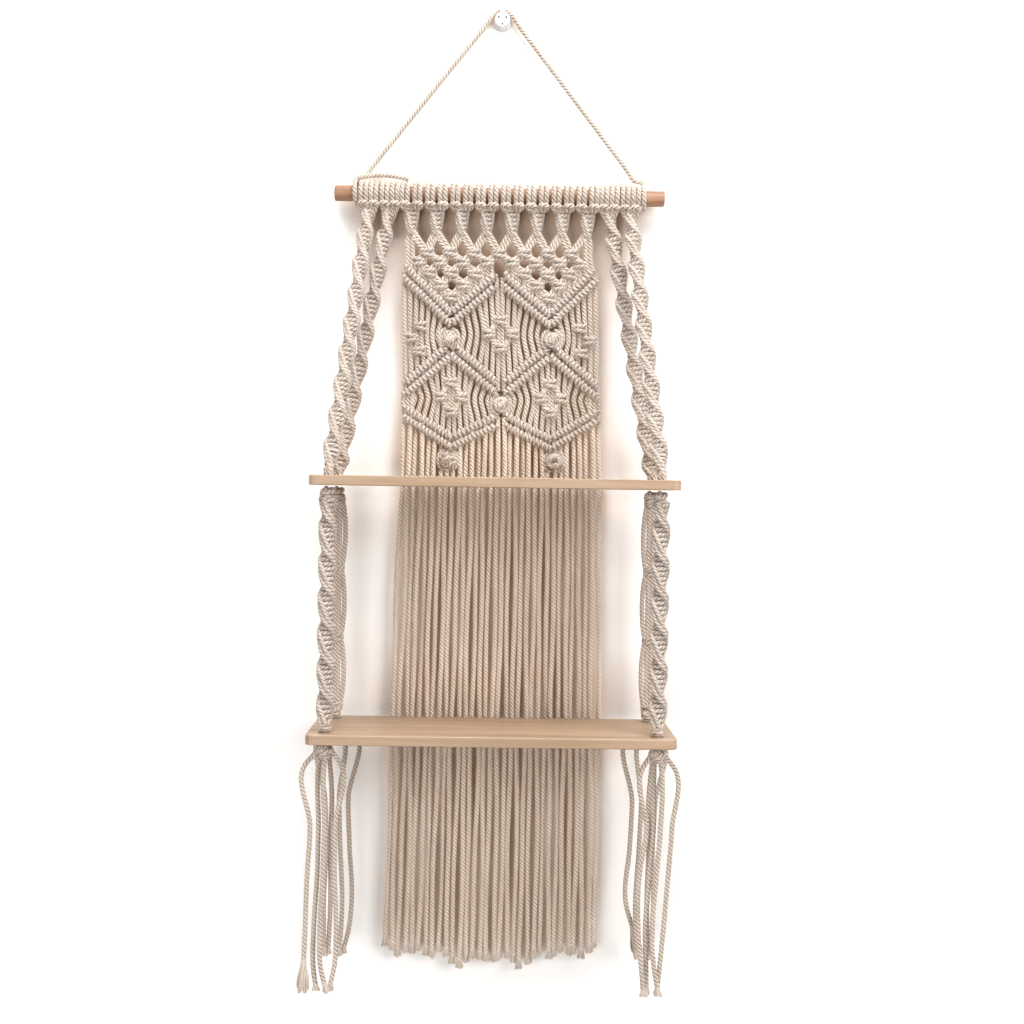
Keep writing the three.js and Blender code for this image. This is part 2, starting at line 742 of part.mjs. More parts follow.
for (const [label, side] of Object.entries(sides)) {
  for (const [name, lines] of Object.entries(cutters)) {
    place(`ridges_${name}_${label}`, fromSolid(cutBerries(ridges(lines, side, 0))), cotton);
  }
  const inner = side * clearance;
  const outer = side * fieldHalfWidth;
  const from = Math.min(inner, outer);
  const to = Math.max(inner, outer);
  const sideField = field([sided(sideDiamond, side)], from, to, fieldStrands,
    sided(sideDiamondKnots, side), [[["upper", "middle"], side]]);
  place(`diamond_side_${label}`, fromSolid(sideField), cotton);
  const lowerField = field([sided(lowerDiamond, side)], from, to, fieldStrands,
    sided(lowerDiamondKnots, side), [[["middle", "lower"], side]]);
  place(`diamond_lower_${label}`, fromSolid(lowerField), cotton);
}
const centreOutlines = [centreDiamond, mirrored(centreDiamond)];
const bothSides = [[["upper", "middle"], 1], [["upper", "middle"], -1]];
const centreField = field(centreOutlines, -fieldHalfWidth, fieldHalfWidth, 2 * fieldStrands,
  centreDiamondKnots, bothSides);
place("diamond_centre", fromSolid(centreField), cotton);

for (const [name, at] of Object.entries(berryPlaces)) place(name, berry(at, 0), cotton);

// Fringe: the strands below the lowest ridges, in two halves, with a narrow slot after every few strands
const fringeSpread = fringeHalfWidth / fieldHalfWidth;
const strandPitch = fieldHalfWidth / strandsPerHalf;

function fringeSlot(x) {
  const half = fringeSlotWidth / 2;
  const end = Math.max(...fringeEndDrops);
  const spread = (drop) => 1 + ((fringeSpread - 1) * (drop - fringeTopDrop)) / (end - fringeTopDrop);
  const top = x * spread(fringeSlotTopDrop);
  const bottom = x * spread(end + overrun);
  return slab([
    [top - half, fringeSlotTopDrop],
    [bottom - half, end + overrun],
    [bottom + half, end + overrun],
    [top + half, fringeSlotTopDrop],
  ]);
}

for (const [label, side] of Object.entries(sides)) {
  const from = side > 0 ? clearance : -fieldHalfWidth;
  const to = side > 0 ? fieldHalfWidth : -clearance;
  let made = strands(from, to, strandsPerHalf, fringeTopDrop, fringeEndDrops, fringeSpread);
  made = made.subtract(slab(sided(fringeCut, side)));
  made = cutBerries(cutAway(made, ["lower"], side));
  for (let k = strandsPerSlot; k < strandsPerHalf; k += strandsPerSlot) {
    made = made.subtract(fringeSlot(side * k * strandPitch));
  }
  place(`fringe_${label}`, fromSolid(largest(made)), cotton);
}

export default shelf;
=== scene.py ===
# %% [markdown]
# # A hanging rope shelf
# The real thing is a piece of macramé: cotton rope knotted by hand onto a wooden dowel, with two
# boards carried in the rope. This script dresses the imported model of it. The ropes follow the
# model's sizes and places, and the script adds what a camera sees from close by: the twist of
# each rope, the knots, the grain of the wood and the light.

# %% Load the frame
import math
import bmesh
import bpy
from mathutils import Matrix, Vector


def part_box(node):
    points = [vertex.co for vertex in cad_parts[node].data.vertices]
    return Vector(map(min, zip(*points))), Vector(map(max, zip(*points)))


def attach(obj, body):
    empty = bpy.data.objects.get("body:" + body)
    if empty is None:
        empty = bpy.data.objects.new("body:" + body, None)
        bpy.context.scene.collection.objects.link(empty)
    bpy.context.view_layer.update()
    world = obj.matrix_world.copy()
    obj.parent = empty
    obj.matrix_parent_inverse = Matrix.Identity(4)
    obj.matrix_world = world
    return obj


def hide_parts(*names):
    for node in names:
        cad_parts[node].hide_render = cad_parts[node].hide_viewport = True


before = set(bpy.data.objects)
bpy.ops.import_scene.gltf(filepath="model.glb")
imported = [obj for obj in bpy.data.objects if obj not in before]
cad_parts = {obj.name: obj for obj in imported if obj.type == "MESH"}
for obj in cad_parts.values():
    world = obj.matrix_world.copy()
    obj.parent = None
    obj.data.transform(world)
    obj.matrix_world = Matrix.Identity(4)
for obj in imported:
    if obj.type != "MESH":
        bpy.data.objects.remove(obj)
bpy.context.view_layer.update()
MM = 0.001
SIDES = (("left", -1), ("right", 1))


def add_object(name, data):
    item = bpy.data.objects.new(name, data)
    bpy.context.scene.collection.objects.link(item)
    return item


# %% [markdown]
# ## The camera
# The photograph looks straight at the shelf from about a metre and a half away, level with the
# upper board, and it leans by just under one degree. A long lens keeps the verticals parallel.

# %% Place the camera
PHOTO_SIZE = 1024
FOCAL_PIXELS = 1356
CAMERA_PLACE = Vector((0.0, -1.603, -0.549))
CAMERA_AIM = Vector((0.020, -0.015, -0.575))
CAMERA_ROLL = math.radians(0.9)

camera_data = bpy.data.cameras.new("camera")
camera_data.sensor_width = 36
camera_data.lens = camera_data.sensor_width * FOCAL_PIXELS / PHOTO_SIZE
camera = add_object("camera", camera_data)
look = (CAMERA_AIM - CAMERA_PLACE).to_track_quat("-Z", "Y").to_matrix()
camera.matrix_world = Matrix.Translation(CAMERA_PLACE) @ (look @ Matrix.Rotation(CAMERA_ROLL, 3, "Z")).to_4x4()
bpy.context.scene.camera = camera
print("lens in millimetres:", round(camera_data.lens, 1))

# %% [markdown]
# ## Sizes that the rope follows
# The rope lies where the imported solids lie, so the dowel's axis and the faces of the boards are
# measured on them and turned into millimetres. The holes sit a fixed way in from the boards'
# edges. A rope pulled tight in a knot is thinner than one that hangs free, so rope has two radii.

# %% Sizes from the model
ROPE = 2.75  # radius of a free rope
TIED = 2.4  # radius of a rope in a knot
GAP = 0.3  # between a rope and what it lies on
dowel_low, dowel_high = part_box("dowel")
DOWEL_Y = (dowel_low.y + dowel_high.y) / 2 / MM
DOWEL_Z = (dowel_low.z + dowel_high.z) / 2 / MM
DOWEL_R = (dowel_high.z - dowel_low.z) / 2 / MM
WRAP_R = DOWEL_R + GAP + ROPE
upper_low, upper_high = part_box("upper_board")
lower_low, lower_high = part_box("lower_board")
UPPER_TOP, UPPER_BOTTOM = upper_high.z / MM, upper_low.z / MM
LOWER_TOP, LOWER_BOTTOM = lower_high.z / MM, lower_low.z / MM
HOLE_X = 180
HOLE_INSET = 18
HOLE_Y = {"front": upper_low.y / MM + HOLE_INSET, "rear": upper_high.y / MM - HOLE_INSET}
print("dowel axis:", round(DOWEL_Y, 1), round(DOWEL_Z, 1))


# %% [markdown]
# ## Twisted rope
# The rope is three strands laid together. A curve can carry that: its cross-section is a small
# outline with three lobes, and each point of the curve is tilted a little more than the last, so
# the lobes wind round the rope. Every knot below is then only a path, and one helper turns any
# path into rope. The curve becomes a mesh at the end, because a mesh bakes and exports safely.
# Rope pulled tight in a knot closes up, so its own section has shallower valleys.

# %% A rope's cross-section and a helper that sweeps it
STRANDS = 3
LAY_PITCH = 13.5  # one full turn of a strand
STEP = 1.35  # between points along a path


def make_section(name, valley):
    """An outline with one rounded lobe for each strand; valley is the radius between them."""
    data = bpy.data.curves.new(name, "CURVE")
    spline = data.splines.new("POLY")
    corners = []
    for strand in range(STRANDS):
        for radius, share in ((1.02, -0.3), (1.07, 0.0), (1.02, 0.3), (valley, 0.5)):
            corners.append((radius, 2 * math.pi * (strand + share) / STRANDS))
    spline.points.add(len(corners) - 1)
    for place, (radius, angle) in zip(spline.points, corners):
        place.co = (radius * math.cos(angle), radius * math.sin(angle), 0, 1)
    spline.use_cyclic_u = True
    return add_object(name, data)


rope_section = make_section("rope_section", 0.55)
tied_section = make_section("tied_section", 0.8)


def smooth_path(points, step=STEP):
    """Points about one step apart on a smooth line through the given ones, in millimetres."""
    places = [Vector(p) for p in points]
    places = [2 * places[0] - places[1]] + places + [2 * places[-1] - places[-2]]
    line = []
    for a, b, c, d in zip(places, places[1:], places[2:], places[3:]):
        span = (c - b).length
        if span < 1e-6:
            continue
        before = max((b - a).length, 1e-3)
        after = max((d - c).length, 1e-3)
        tangent_b = ((b - a) / before * span + (c - b) / span * before) / (span + before)
        tangent_c = ((c - b) / span * after + (d - c) / after * span) / (span + after)
        steps = max(1, round(span / step))
        for k in range(steps):
            t = k / steps
            line.append(
                (2 * t**3 - 3 * t**2 + 1) * b
                + (t**3 - 2 * t**2 + t) * span * tangent_b
                + (3 * t**2 - 2 * t**3) * c
                + (t**3 - t**2) * span * tangent_c
            )
    line.append(places[-2])
    return line


def rope_piece(name, paths, body, node, material, radius=ROPE, pitch=LAY_PITCH, section=rope_section):
    """One mesh of rope along each path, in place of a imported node; paths are in millimetres."""
    data = bpy.data.curves.new(name, "CURVE")
    data.dimensions = "3D"
    data.bevel_mode = "OBJECT"
    data.bevel_object = section
    data.use_fill_caps = True
    for path in paths:
        spline = data.splines.new("POLY")
        spline.points.add(len(path) - 1)
        turned = 0.0
        for k, place in enumerate(path):
            if k:
                turned -= (place - path[k - 1]).length / pitch * 2 * math.pi
            spline.points[k].co = (place.x * MM, place.y * MM, place.z * MM, 1)
            spline.points[k].tilt = turned
            spline.points[k].radius = radius * MM
        spline.use_smooth = True
    curve = add_object(name + "_line", data)
    bpy.context.view_layer.update()
    mesh = bpy.data.meshes.new_from_object(curve.evaluated_get(bpy.context.evaluated_depsgraph_get()))
    bpy.data.objects.remove(curve)
    mesh.name = name
    mesh.materials.clear()
    mesh.materials.append(material)
    piece = add_object(name, mesh)
    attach(piece, body)
    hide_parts(node)
    return piece


# %% [markdown]
# ## Materials
# Every material here is made of nodes that read a place on the object, so no image has to be
# painted, though the cotton and the wall paint shade into their colour. What more than one
# material needs is a group, built once and used with other values.
# The helpers below keep that short: each adds one or two nodes and gives back the socket to use.


# %% Helpers for node groups and materials
def new_group(name, inputs, outputs):
    group = bpy.data.node_groups.new(name, "ShaderNodeTree")
    for label, kind, default in inputs:
        socket = group.interface.new_socket(name=label, in_out="INPUT", socket_type=kind)
        socket.default_value = default
    for label, kind in outputs:
        group.interface.new_socket(name=label, in_out="OUTPUT", socket_type=kind)
    return group, group.nodes.new("NodeGroupInput"), group.nodes.new("NodeGroupOutput")


def new_material(name, roughness):
    material = bpy.data.materials.new(name)
    material.use_nodes = True
    shader = material.node_tree.nodes["Principled BSDF"]
    shader.inputs["Roughness"].default_value = roughness
    return material, material.node_tree.nodes, material.node_tree.links, shader


def feed(links, socket, value):
    """Links an output to the socket, or sets the socket to a plain value."""
    if isinstance(value, bpy.types.NodeSocket):
        links.new(value, socket)
    else:
        socket.default_value = value


def calculate(nodes, links, operation, *values):
    node = nodes.new("ShaderNodeMath")
    node.operation = operation
    for socket, value in zip(node.inputs, values):
        feed(links, socket, value)
    return node.outputs[0]


def mix_colours(nodes, links, factor, first, second):
    mix = nodes.new("ShaderNodeMix")
    mix.data_type = "RGBA"
    for socket, value in ((mix.inputs[0], factor), (mix.inputs[6], first), (mix.inputs[7], second)):
        feed(links, socket, value)
    return mix.outputs[2]


def mix_shaders(nodes, links, factor, first, second, output):
    mix = nodes.new("ShaderNodeMixShader")
    for socket, source in zip(mix.inputs, (factor, first, second)):
        links.new(source, socket)
    links.new(mix.outputs[0], output.inputs["Surface"])


def spread_range(nodes, links, value, low, high, most=1.0, smooth=False):
    """Maps low to 0 and high to most."""
    spread = nodes.new("ShaderNodeMapRange")
    spread.inputs["From Min"].default_value = low
    spread.inputs["From Max"].default_value = high
    spread.inputs["To Max"].default_value = most
    if smooth:
        spread.interpolation_type = "SMOOTHSTEP"
    links.new(value, spread.inputs["Value"])
    return spread.outputs["Result"]


def tuned_noise(nodes, links, coordinates, scale, detail, low, high):
    texture = nodes.new("ShaderNodeTexNoise")
    texture.inputs["Scale"].default_value = scale
    texture.inputs["Detail"].default_value = detail
    links.new(coordinates, texture.inputs["Vector"])
    return spread_range(nodes, links, texture.outputs["Fac"], low, high)


def add_bump(nodes, links, shader, height, strength, distance):
    bump = nodes.new("ShaderNodeBump")
    bump.inputs["Strength"].default_value = strength
    bump.inputs["Distance"].default_value = distance
    links.new(height, bump.inputs["Height"])
    links.new(bump.outputs["Normal"], shader.inputs["Normal"])


# %% [markdown]
# ## Cotton
# Cotton rope is matt and a little hairy, so it has a fine noise in its colour and bump and a soft
# sheen. Real rope is not one colour either: some strands are creamier, some greyer. The swept
# curve brings its own texture coordinate, and the second number of it runs once round the section.
# A sine wave in that number is lowest in the three valleys, so the group paints shade into them
# too, where the strands would shadow each other. That keeps the twist readable even where the
# light is flat.

# %% Fibre group: the mottled tint, the painted shade in the valleys and the hairy surface of cotton
fibre_and_shade_group, group_in, group_out = new_group(
    "cotton_fibre_and_shade",
    [
        ("Light", "NodeSocketColor", (0.8, 0.7, 0.6, 1)),
        ("Deep", "NodeSocketColor", (0.5, 0.4, 0.3, 1)),
        ("Valley_Shade", "NodeSocketColor", (0.3, 0.2, 0.1, 1)),
    ],
    [("Colour", "NodeSocketColor"), ("Height", "NodeSocketFloat")],
)
nodes, links = fibre_and_shade_group.nodes, fibre_and_shade_group.links
place = nodes.new("ShaderNodeTexCoord").outputs["Object"]
upright = nodes.new("ShaderNodeMapping")
upright.inputs["Scale"].default_value = (1.0, 1.0, 0.15)
links.new(place, upright.inputs["Vector"])
patches = tuned_noise(nodes, links, upright.outputs[0], 110, 2, 0.36, 0.64)
fibres = tuned_noise(nodes, links, place, 1400, 3, 0.3, 0.75)
patch_share = calculate(nodes, links, "MULTIPLY", patches, 0.4)
depth = calculate(nodes, links, "MULTIPLY_ADD", fibres, 0.3, patch_share)
tint = mix_colours(nodes, links, depth, group_in.outputs["Light"], group_in.outputs["Deep"])
# Painted shade: a sine round the section darkens the three valleys towards the third colour, where the strands
# would shadow each other.
round_section = nodes.new("ShaderNodeUVMap")
round_section.uv_map = "UVMap"
parts = nodes.new("ShaderNodeSeparateXYZ")
links.new(round_section.outputs[0], parts.inputs[0])
angle = calculate(nodes, links, "MULTIPLY", parts.outputs["Y"], STRANDS * 2 * math.pi)
wave = calculate(nodes, links, "SINE", angle)
valley = spread_range(nodes, links, wave, -0.05, -1.0, most=0.95)
links.new(mix_colours(nodes, links, valley, tint, group_in.outputs["Valley_Shade"]), group_out.inputs[0])
links.new(fibres, group_out.inputs[1])


# %% [markdown]
# The same cotton looks different from place to place, and some of that is painted light and shade.
# A free rope has painted shade in the valleys between its strands. In a knot it is stretched, so its
# valleys close and their painted shade is lighter, and the knots' cotton is painted darker overall.
# The long ropes of the fringe hang slack and look smoother, and their cotton is painted paler, as
# painted light that makes up for the boards' shadow on them. The opened yarns at their ends hardly
# twist.


# %% Four kinds of cotton: plain, a painted-shade copy for knots, a painted-light copy for the fringe, yarn
# valley is the colour of the painted shade in the valleys between the strands.
def make_cotton(name, light, deep, valley, bump_height):
    material, nodes, links, shader = new_material(name, 0.95)
    shader.inputs["Sheen Weight"].default_value = 0.12
    shader.inputs["Specular IOR Level"].default_value = 0.2
    fibre_and_shade = nodes.new("ShaderNodeGroup")
    fibre_and_shade.node_tree = fibre_and_shade_group
    fibre_and_shade.inputs["Light"].default_value = light
    fibre_and_shade.inputs["Deep"].default_value = deep
    fibre_and_shade.inputs["Valley_Shade"].default_value = valley
    links.new(fibre_and_shade.outputs["Colour"], shader.inputs["Base Color"])
    add_bump(nodes, links, shader, fibre_and_shade.outputs["Height"], 0.5, bump_height)
    return material


cotton = make_cotton(
    "cotton", (0.75, 0.67, 0.60, 1), (0.53, 0.425, 0.335, 1), (0.19, 0.12, 0.08, 1), 0.0004
)
# Painted shade: the knots' cotton is the same rope in a darker copy.
shaded_tied_cotton = make_cotton(
    "shaded_tied_cotton", (0.67, 0.605, 0.55, 1), (0.49, 0.405, 0.34, 1), (0.24, 0.165, 0.12, 1), 0.0004
)
# Painted light: the fringe's cotton is the same rope in a paler copy, to make up for the boards' shadow on it.
lit_fringe_cotton = make_cotton(
    "lit_fringe_cotton", (0.90, 0.79, 0.69, 1), (0.70, 0.575, 0.465, 1), (0.38, 0.265, 0.185, 1), 0.0003
)
yarn_cotton = make_cotton(
    "yarn_cotton", (0.76, 0.68, 0.61, 1), (0.60, 0.50, 0.41, 1), (0.44, 0.35, 0.28, 1), 0.0002
)
print("cottons made: 4")


def tied_piece(name, paths, body, node):
    """Rope that is pulled tight: knots, hitches and bars."""
    rope_piece(name, paths, body, node, shaded_tied_cotton, radius=TIED, section=tied_section)


# %% [markdown]
# ## Wood
# The boards are pale pine and the dowel is a redder wood. Both are sawn or turned along the grain,
# so the pattern is noise stretched along X. A slower noise shifts it, which keeps the streaks from
# running dead straight, and the height of the fine pores breaks up the shine.

# %% Wood group: long grain along X with finer pores
wood_group, group_in, group_out = new_group(
    "wood_grain",
    [
        ("Pale", "NodeSocketColor", (0.7, 0.5, 0.35, 1)),
        ("Dark", "NodeSocketColor", (0.5, 0.33, 0.2, 1)),
        ("Across", "NodeSocketFloat", 60.0),
    ],
    [("Colour", "NodeSocketColor"), ("Height", "NodeSocketFloat")],
)
nodes, links = wood_group.nodes, wood_group.links
place = nodes.new("ShaderNodeTexCoord").outputs["Object"]
stretch = nodes.new("ShaderNodeMapping")
stretch.inputs["Scale"].default_value = (0.05, 1.0, 1.0)
links.new(place, stretch.inputs["Vector"])
waver = nodes.new("ShaderNodeTexNoise")
waver.inputs["Scale"].default_value = 9
links.new(stretch.outputs[0], waver.inputs["Vector"])
shift = nodes.new("ShaderNodeVectorMath")
shift.operation = "MULTIPLY_ADD"
shift.inputs[1].default_value = (0.06, 0.06, 0.06)
links.new(waver.outputs["Color"], shift.inputs[0])
links.new(stretch.outputs[0], shift.inputs[2])
rings = nodes.new("ShaderNodeTexNoise")
rings.inputs["Detail"].default_value = 3
links.new(group_in.outputs["Across"], rings.inputs["Scale"])
links.new(shift.outputs[0], rings.inputs["Vector"])
ring_share = spread_range(nodes, links, rings.outputs["Fac"], 0.36, 0.66)
pores = tuned_noise(nodes, links, stretch.outputs[0], 1300, 2, 0.35, 0.7)
grain = calculate(nodes, links, "MULTIPLY_ADD", pores, 0.25, ring_share)
grain_tint = mix_colours(nodes, links, grain, group_in.outputs["Pale"], group_in.outputs["Dark"])
links.new(grain_tint, group_out.inputs[0])
links.new(pores, group_out.inputs[1])


# %% Board wood and dowel wood
def make_wood(name, pale, dark, across, roughness):
    material, nodes, links, shader = new_material(name, roughness)
    shader.inputs["Specular IOR Level"].default_value = 0.5
    grain = nodes.new("ShaderNodeGroup")
    grain.node_tree = wood_group
    grain.inputs["Pale"].default_value = pale
    grain.inputs["Dark"].default_value = dark
    grain.inputs["Across"].default_value = across
    links.new(grain.outputs["Colour"], shader.inputs["Base Color"])
    add_bump(nodes, links, shader, grain.outputs["Height"], 0.25, 0.0003)
    return material


board_wood = make_wood("board_wood", (0.50, 0.355, 0.245, 1), (0.38, 0.255, 0.16, 1), 95, 0.4)
dowel_wood = make_wood("dowel_wood", (0.47, 0.27, 0.165, 1), (0.29, 0.145, 0.08, 1), 160, 0.55)
for name in ("upper_board", "lower_board"):
    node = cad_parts[name]
    node.data.materials.clear()
    node.data.materials.append(board_wood)
print("woods made: 2")

# %% [markdown]
# ## The hanger rope
# One rope carries everything. It starts as a loose end that lies over the knots at the left, goes
# once round the dowel, up to the hook, over its drum, down again and once round the right end.
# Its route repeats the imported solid's, and it is the one long cord of the object.


# %% Hanger rope
def on_dowel(x, radius, degrees):
    """A place round the dowel: degrees run up from its front."""
    turn = math.radians(degrees)
    return (x, DOWEL_Y - radius * math.cos(turn), DOWEL_Z + radius * math.sin(turn))


LOOP_X = 166.75
DRUM_ROPE_R = 11.93
DRUM_ROPE_Y = -5.05
WOUND_R = WRAP_R + 0.2
TURN_STEP = 30  # degrees
TURN_STOPS = 11
TAIL = [
    (-106, 17.8, 62), (-117, 19.4, 78), (-131, 21.4, 86), (-146, 21, 86), (-157, 19.6, 84), (-166.4, 17.6, 76),
]
LEG = [(9, 20), (3.25, 18.9), (0.95, 17.9), (0.05, 15.6)]

route = [on_dowel(*p) for p in TAIL]
route += [on_dowel(-LOOP_X - 1.6 + 0.4 * k, WOUND_R, 50 - TURN_STEP * k) for k in range(TURN_STOPS)]
left_leg = [Vector(on_dowel(-LOOP_X + inward, radius, 90)) for inward, radius in reversed(LEG)]
right_leg = [Vector((-p.x, p.y, p.z)) for p in reversed(left_leg)]
slope = math.atan2(-DOWEL_Z - LEG[0][1], LOOP_X - LEG[0][0])
arc = math.pi / 2 - slope
drum = []
for k in range(-4, 5):
    angle = math.pi / 2 - arc * k / 4
    drum.append(Vector((DRUM_ROPE_R * math.cos(angle), DRUM_ROPE_Y, DRUM_ROPE_R * math.sin(angle))))
route += left_leg + [left_leg[-1].lerp(drum[0], share) for share in (0.06, 0.3, 0.6, 0.9)]
route += drum + [right_leg[0].lerp(drum[-1], share) for share in (0.9, 0.6, 0.3, 0.06)] + right_leg
route += [on_dowel(LOOP_X + 0.15 * k, WOUND_R, 70 - TURN_STEP * k) for k in range(TURN_STOPS)]
hanger_line = smooth_path(route)
hanger = rope_piece("hanger_rope", [hanger_line], "hanger", "hanger_cord", cotton)

# %% [markdown]
# ## The wall hook and its pins
# A small white moulding is nailed to the wall by three hard steel pins. Its drum is a profile that
# is spun round its axis, with the rim's round in the profile. The tongue in front, which keeps the
# rope on, is a flattened cylinder whose rims are bevelled.


# %% Helpers for solid pieces
def finish_piece(mesh, name, body, material, replaced):
    """A smooth solid from a bmesh; edges sharper than 35 degrees stay sharp."""
    bmesh.ops.remove_doubles(mesh, verts=mesh.verts, dist=1e-6)
    bmesh.ops.recalc_face_normals(mesh, faces=mesh.faces)
    data = bpy.data.meshes.new(name)
    mesh.to_mesh(data)
    mesh.free()
    for face in data.polygons:
        face.use_smooth = True
    data.set_sharp_from_angle(angle=math.radians(35))
    data.materials.append(material)
    piece = add_object(name, data)
    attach(piece, body)
    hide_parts(replaced)


def turned(mesh, profile, axis, centre, steps=48):
    """Spins a profile of (radius, along) corners, in millimetres, about an axis through centre."""
    axis, centre = Vector(axis), Vector(centre)
    side = axis.orthogonal().normalized()
    corners = [mesh.verts.new((centre + side * r + axis * a) * MM) for r, a in profile]
    edges = [mesh.edges.new(pair) for pair in zip(corners, corners[1:])]
    bmesh.ops.spin(
        mesh, geom=corners + edges, cent=centre * MM, axis=axis, dvec=(0, 0, 0),
        angle=2 * math.pi, steps=steps, use_merge=True, use_duplicate=False,
    )


def rounded_corner(radius, along, size, outward):
    """Points of a quarter round at the rim of a turned piece."""
    points = []
    for k in range(5):
        turn = math.pi / 2 * k / 4
        points.append((radius - size + size * math.sin(turn), along - outward * size * (1 - math.cos(turn))))
    return points


# %% Plastic and steel
plastic, nodes, links, shader = new_material("white_plastic", 0.38)
place = nodes.new("ShaderNodeTexCoord").outputs["Object"]
scuffs = tuned_noise(nodes, links, place, 260, 4, 0.4, 0.75)
tint = mix_colours(nodes, links, scuffs, (0.80, 0.80, 0.81, 1), (0.70, 0.70, 0.71, 1))
links.new(tint, shader.inputs["Base Color"])
add_bump(nodes, links, shader, scuffs, 0.1, 0.0002)

steel, nodes, links, shader = new_material("dark_steel", 0.35)
shader.inputs["Metallic"].default_value = 1.0
place = nodes.new("ShaderNodeTexCoord").outputs["Object"]
stains = tuned_noise(nodes, links, place, 900, 3, 0.35, 0.7)
tint = mix_colours(nodes, links, stains, (0.16, 0.15, 0.14, 1), (0.07, 0.06, 0.05, 1))
links.new(tint, shader.inputs["Base Color"])

# %% Hook
HOOK_FRONT = -11.0
DRUM_R = 8.8
TONGUE_HALF_W, TONGUE_HEIGHT, TONGUE_THICK = 3, 15.8, 2.2
mesh = bmesh.new()
profile = [(0, 0), (10.3, 0), (10.5, -0.3), (10.5, -1.7), (10.2, -2.0), (DRUM_R, -2.0)]
profile += reversed(rounded_corner(DRUM_R, HOOK_FRONT, 0.8, -1))
profile += [(4.6, HOOK_FRONT), (4.3, HOOK_FRONT + 0.4), (0, HOOK_FRONT + 0.4)]
turned(mesh, profile, (0, 1, 0), (0, 0, 0))
drum_verts = set(mesh.verts)
half = TONGUE_HALF_W * MM
bmesh.ops.create_cone(mesh, cap_ends=True, segments=32, radius1=half, radius2=half, depth=TONGUE_THICK * MM)
tongue = [v for v in mesh.verts if v not in drum_verts]
bmesh.ops.rotate(mesh, verts=tongue, cent=(0, 0, 0), matrix=Matrix.Rotation(math.pi / 2, 3, "X"))
bmesh.ops.scale(mesh, verts=tongue, vec=(1, 1, TONGUE_HEIGHT / (2 * TONGUE_HALF_W)))
bmesh.ops.translate(mesh, verts=tongue, vec=(0, (HOOK_FRONT + 0.55) * MM, TONGUE_HEIGHT / 2 * MM))
rims = [e for e in mesh.edges if e.verts[0] in tongue and e.calc_face_angle(0) > 1.2]
bmesh.ops.bevel(mesh, geom=rims, offset=0.5 * MM, segments=3, profile=0.5, affect="EDGES", material=-1)
finish_piece(mesh, "wall_hook_body", "wall", plastic, "wall_hook")

# %% Pins
PIN_CIRCLE = 5.2
PIN_PROFILE = [(0, -0.3), (0.85, -0.3), (0.85, -10.6), (1.15, -10.7), (1.15, -11.2), (0.7, -11.5), (0, -11.6)]
for name, degrees in (("hook_pin_left", 150), ("hook_pin_right", 30), ("hook_pin_bottom", 270)):
    turn = math.radians(degrees)
    centre = (PIN_CIRCLE * math.cos(turn), 0, PIN_CIRCLE * math.sin(turn))
    mesh = bmesh.new()
    turned(mesh, PIN_PROFILE, (0, 1, 0), centre, steps=20)
    finish_piece(mesh, name + "_head", "wall", steel, name)
print("hook and pins made")

# %% [markdown]
# ## The dowel
# A plain round bar with its end edges eased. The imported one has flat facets, so it is turned
# again with more of them, on the same axis and of the same size.

# %% Dowel
EASE = 1.6
half = (dowel_high.x - dowel_low.x) / 2 / MM
mesh = bmesh.new()
profile = [(0, -half)] + rounded_corner(DOWEL_R, -half, EASE, -1)
profile += rounded_corner(DOWEL_R, half, EASE, 1)[::-1] + [(0, half)]
turned(mesh, profile, (1, 0, 0), (0, DOWEL_Y, DOWEL_Z), steps=64)
finish_piece(mesh, "dowel_bar", "drape", dowel_wood, "dowel")
print("dowel length:", round(2 * half, 1))

# %% [markdown]
# ## Lark's heads
# A rope folded in half hangs on the dowel by a lark's head: both ends go over the bar and come
# out through the fold, which lies across them in front. Each rope below is one path: up the
# front, over, under, across as the fold, and back the same way at the other side.


# %% Lark's heads on the dowel
WRAP_HALF = 3.0
WRAP_DEGREES = (-38, -12, 15, 45, 75, 105, 135, 165, 195, 225, 250)


def larks_head(x, end_x, end_y, end_z):
    """One rope over the dowel at x; both of its ends stop near the given place."""
    half_path = []
    for sign in (-1, 1):
        side = [
            (end_x + sign * 1.6, end_y, end_z),
            (x + sign * WRAP_HALF * 0.9, DOWEL_Y - 6.5, DOWEL_Z - 16.5),
        ]
        side += [on_dowel(x + sign * WRAP_HALF, WOUND_R, degrees) for degrees in WRAP_DEGREES]
        side.append(on_dowel(x + sign * (WRAP_HALF + 1.6), WRAP_R + 0.6, 272))
        side.append(on_dowel(x + sign * (WRAP_HALF + 1.7), WRAP_R + 2.2, 294))
        side.append(on_dowel(x + sign * (WRAP_HALF + 0.3), WRAP_R + 4.4, 309))
        side.append(on_dowel(x + sign * 1.2, WRAP_R + 4.8, 313))
        half_path.append(side)
    return smooth_path(half_path[0] + half_path[1][::-1])


# %% [markdown]
# ## Half-knot spirals
# Tie the same half of a square knot again and again and the cord twists by itself into a flat
# band that turns. Its two faces show short bars, one for each half knot, and its two edges look
# smooth because the ropes run along them. So the band is drawn as two ropes along each edge, two
# for the core, and two more that wind from edge to edge. These two waver along the band as they
# go, so each crossing stands nearly straight across, like the bar of a half knot.


# %% A half-knot spiral between two places
KNOT_RISE = 5.3
HALF_TURN = 38.0
BAND_THIN = 3.2
EDGE_THIN = 2.1
CORE_HALF = 2.2


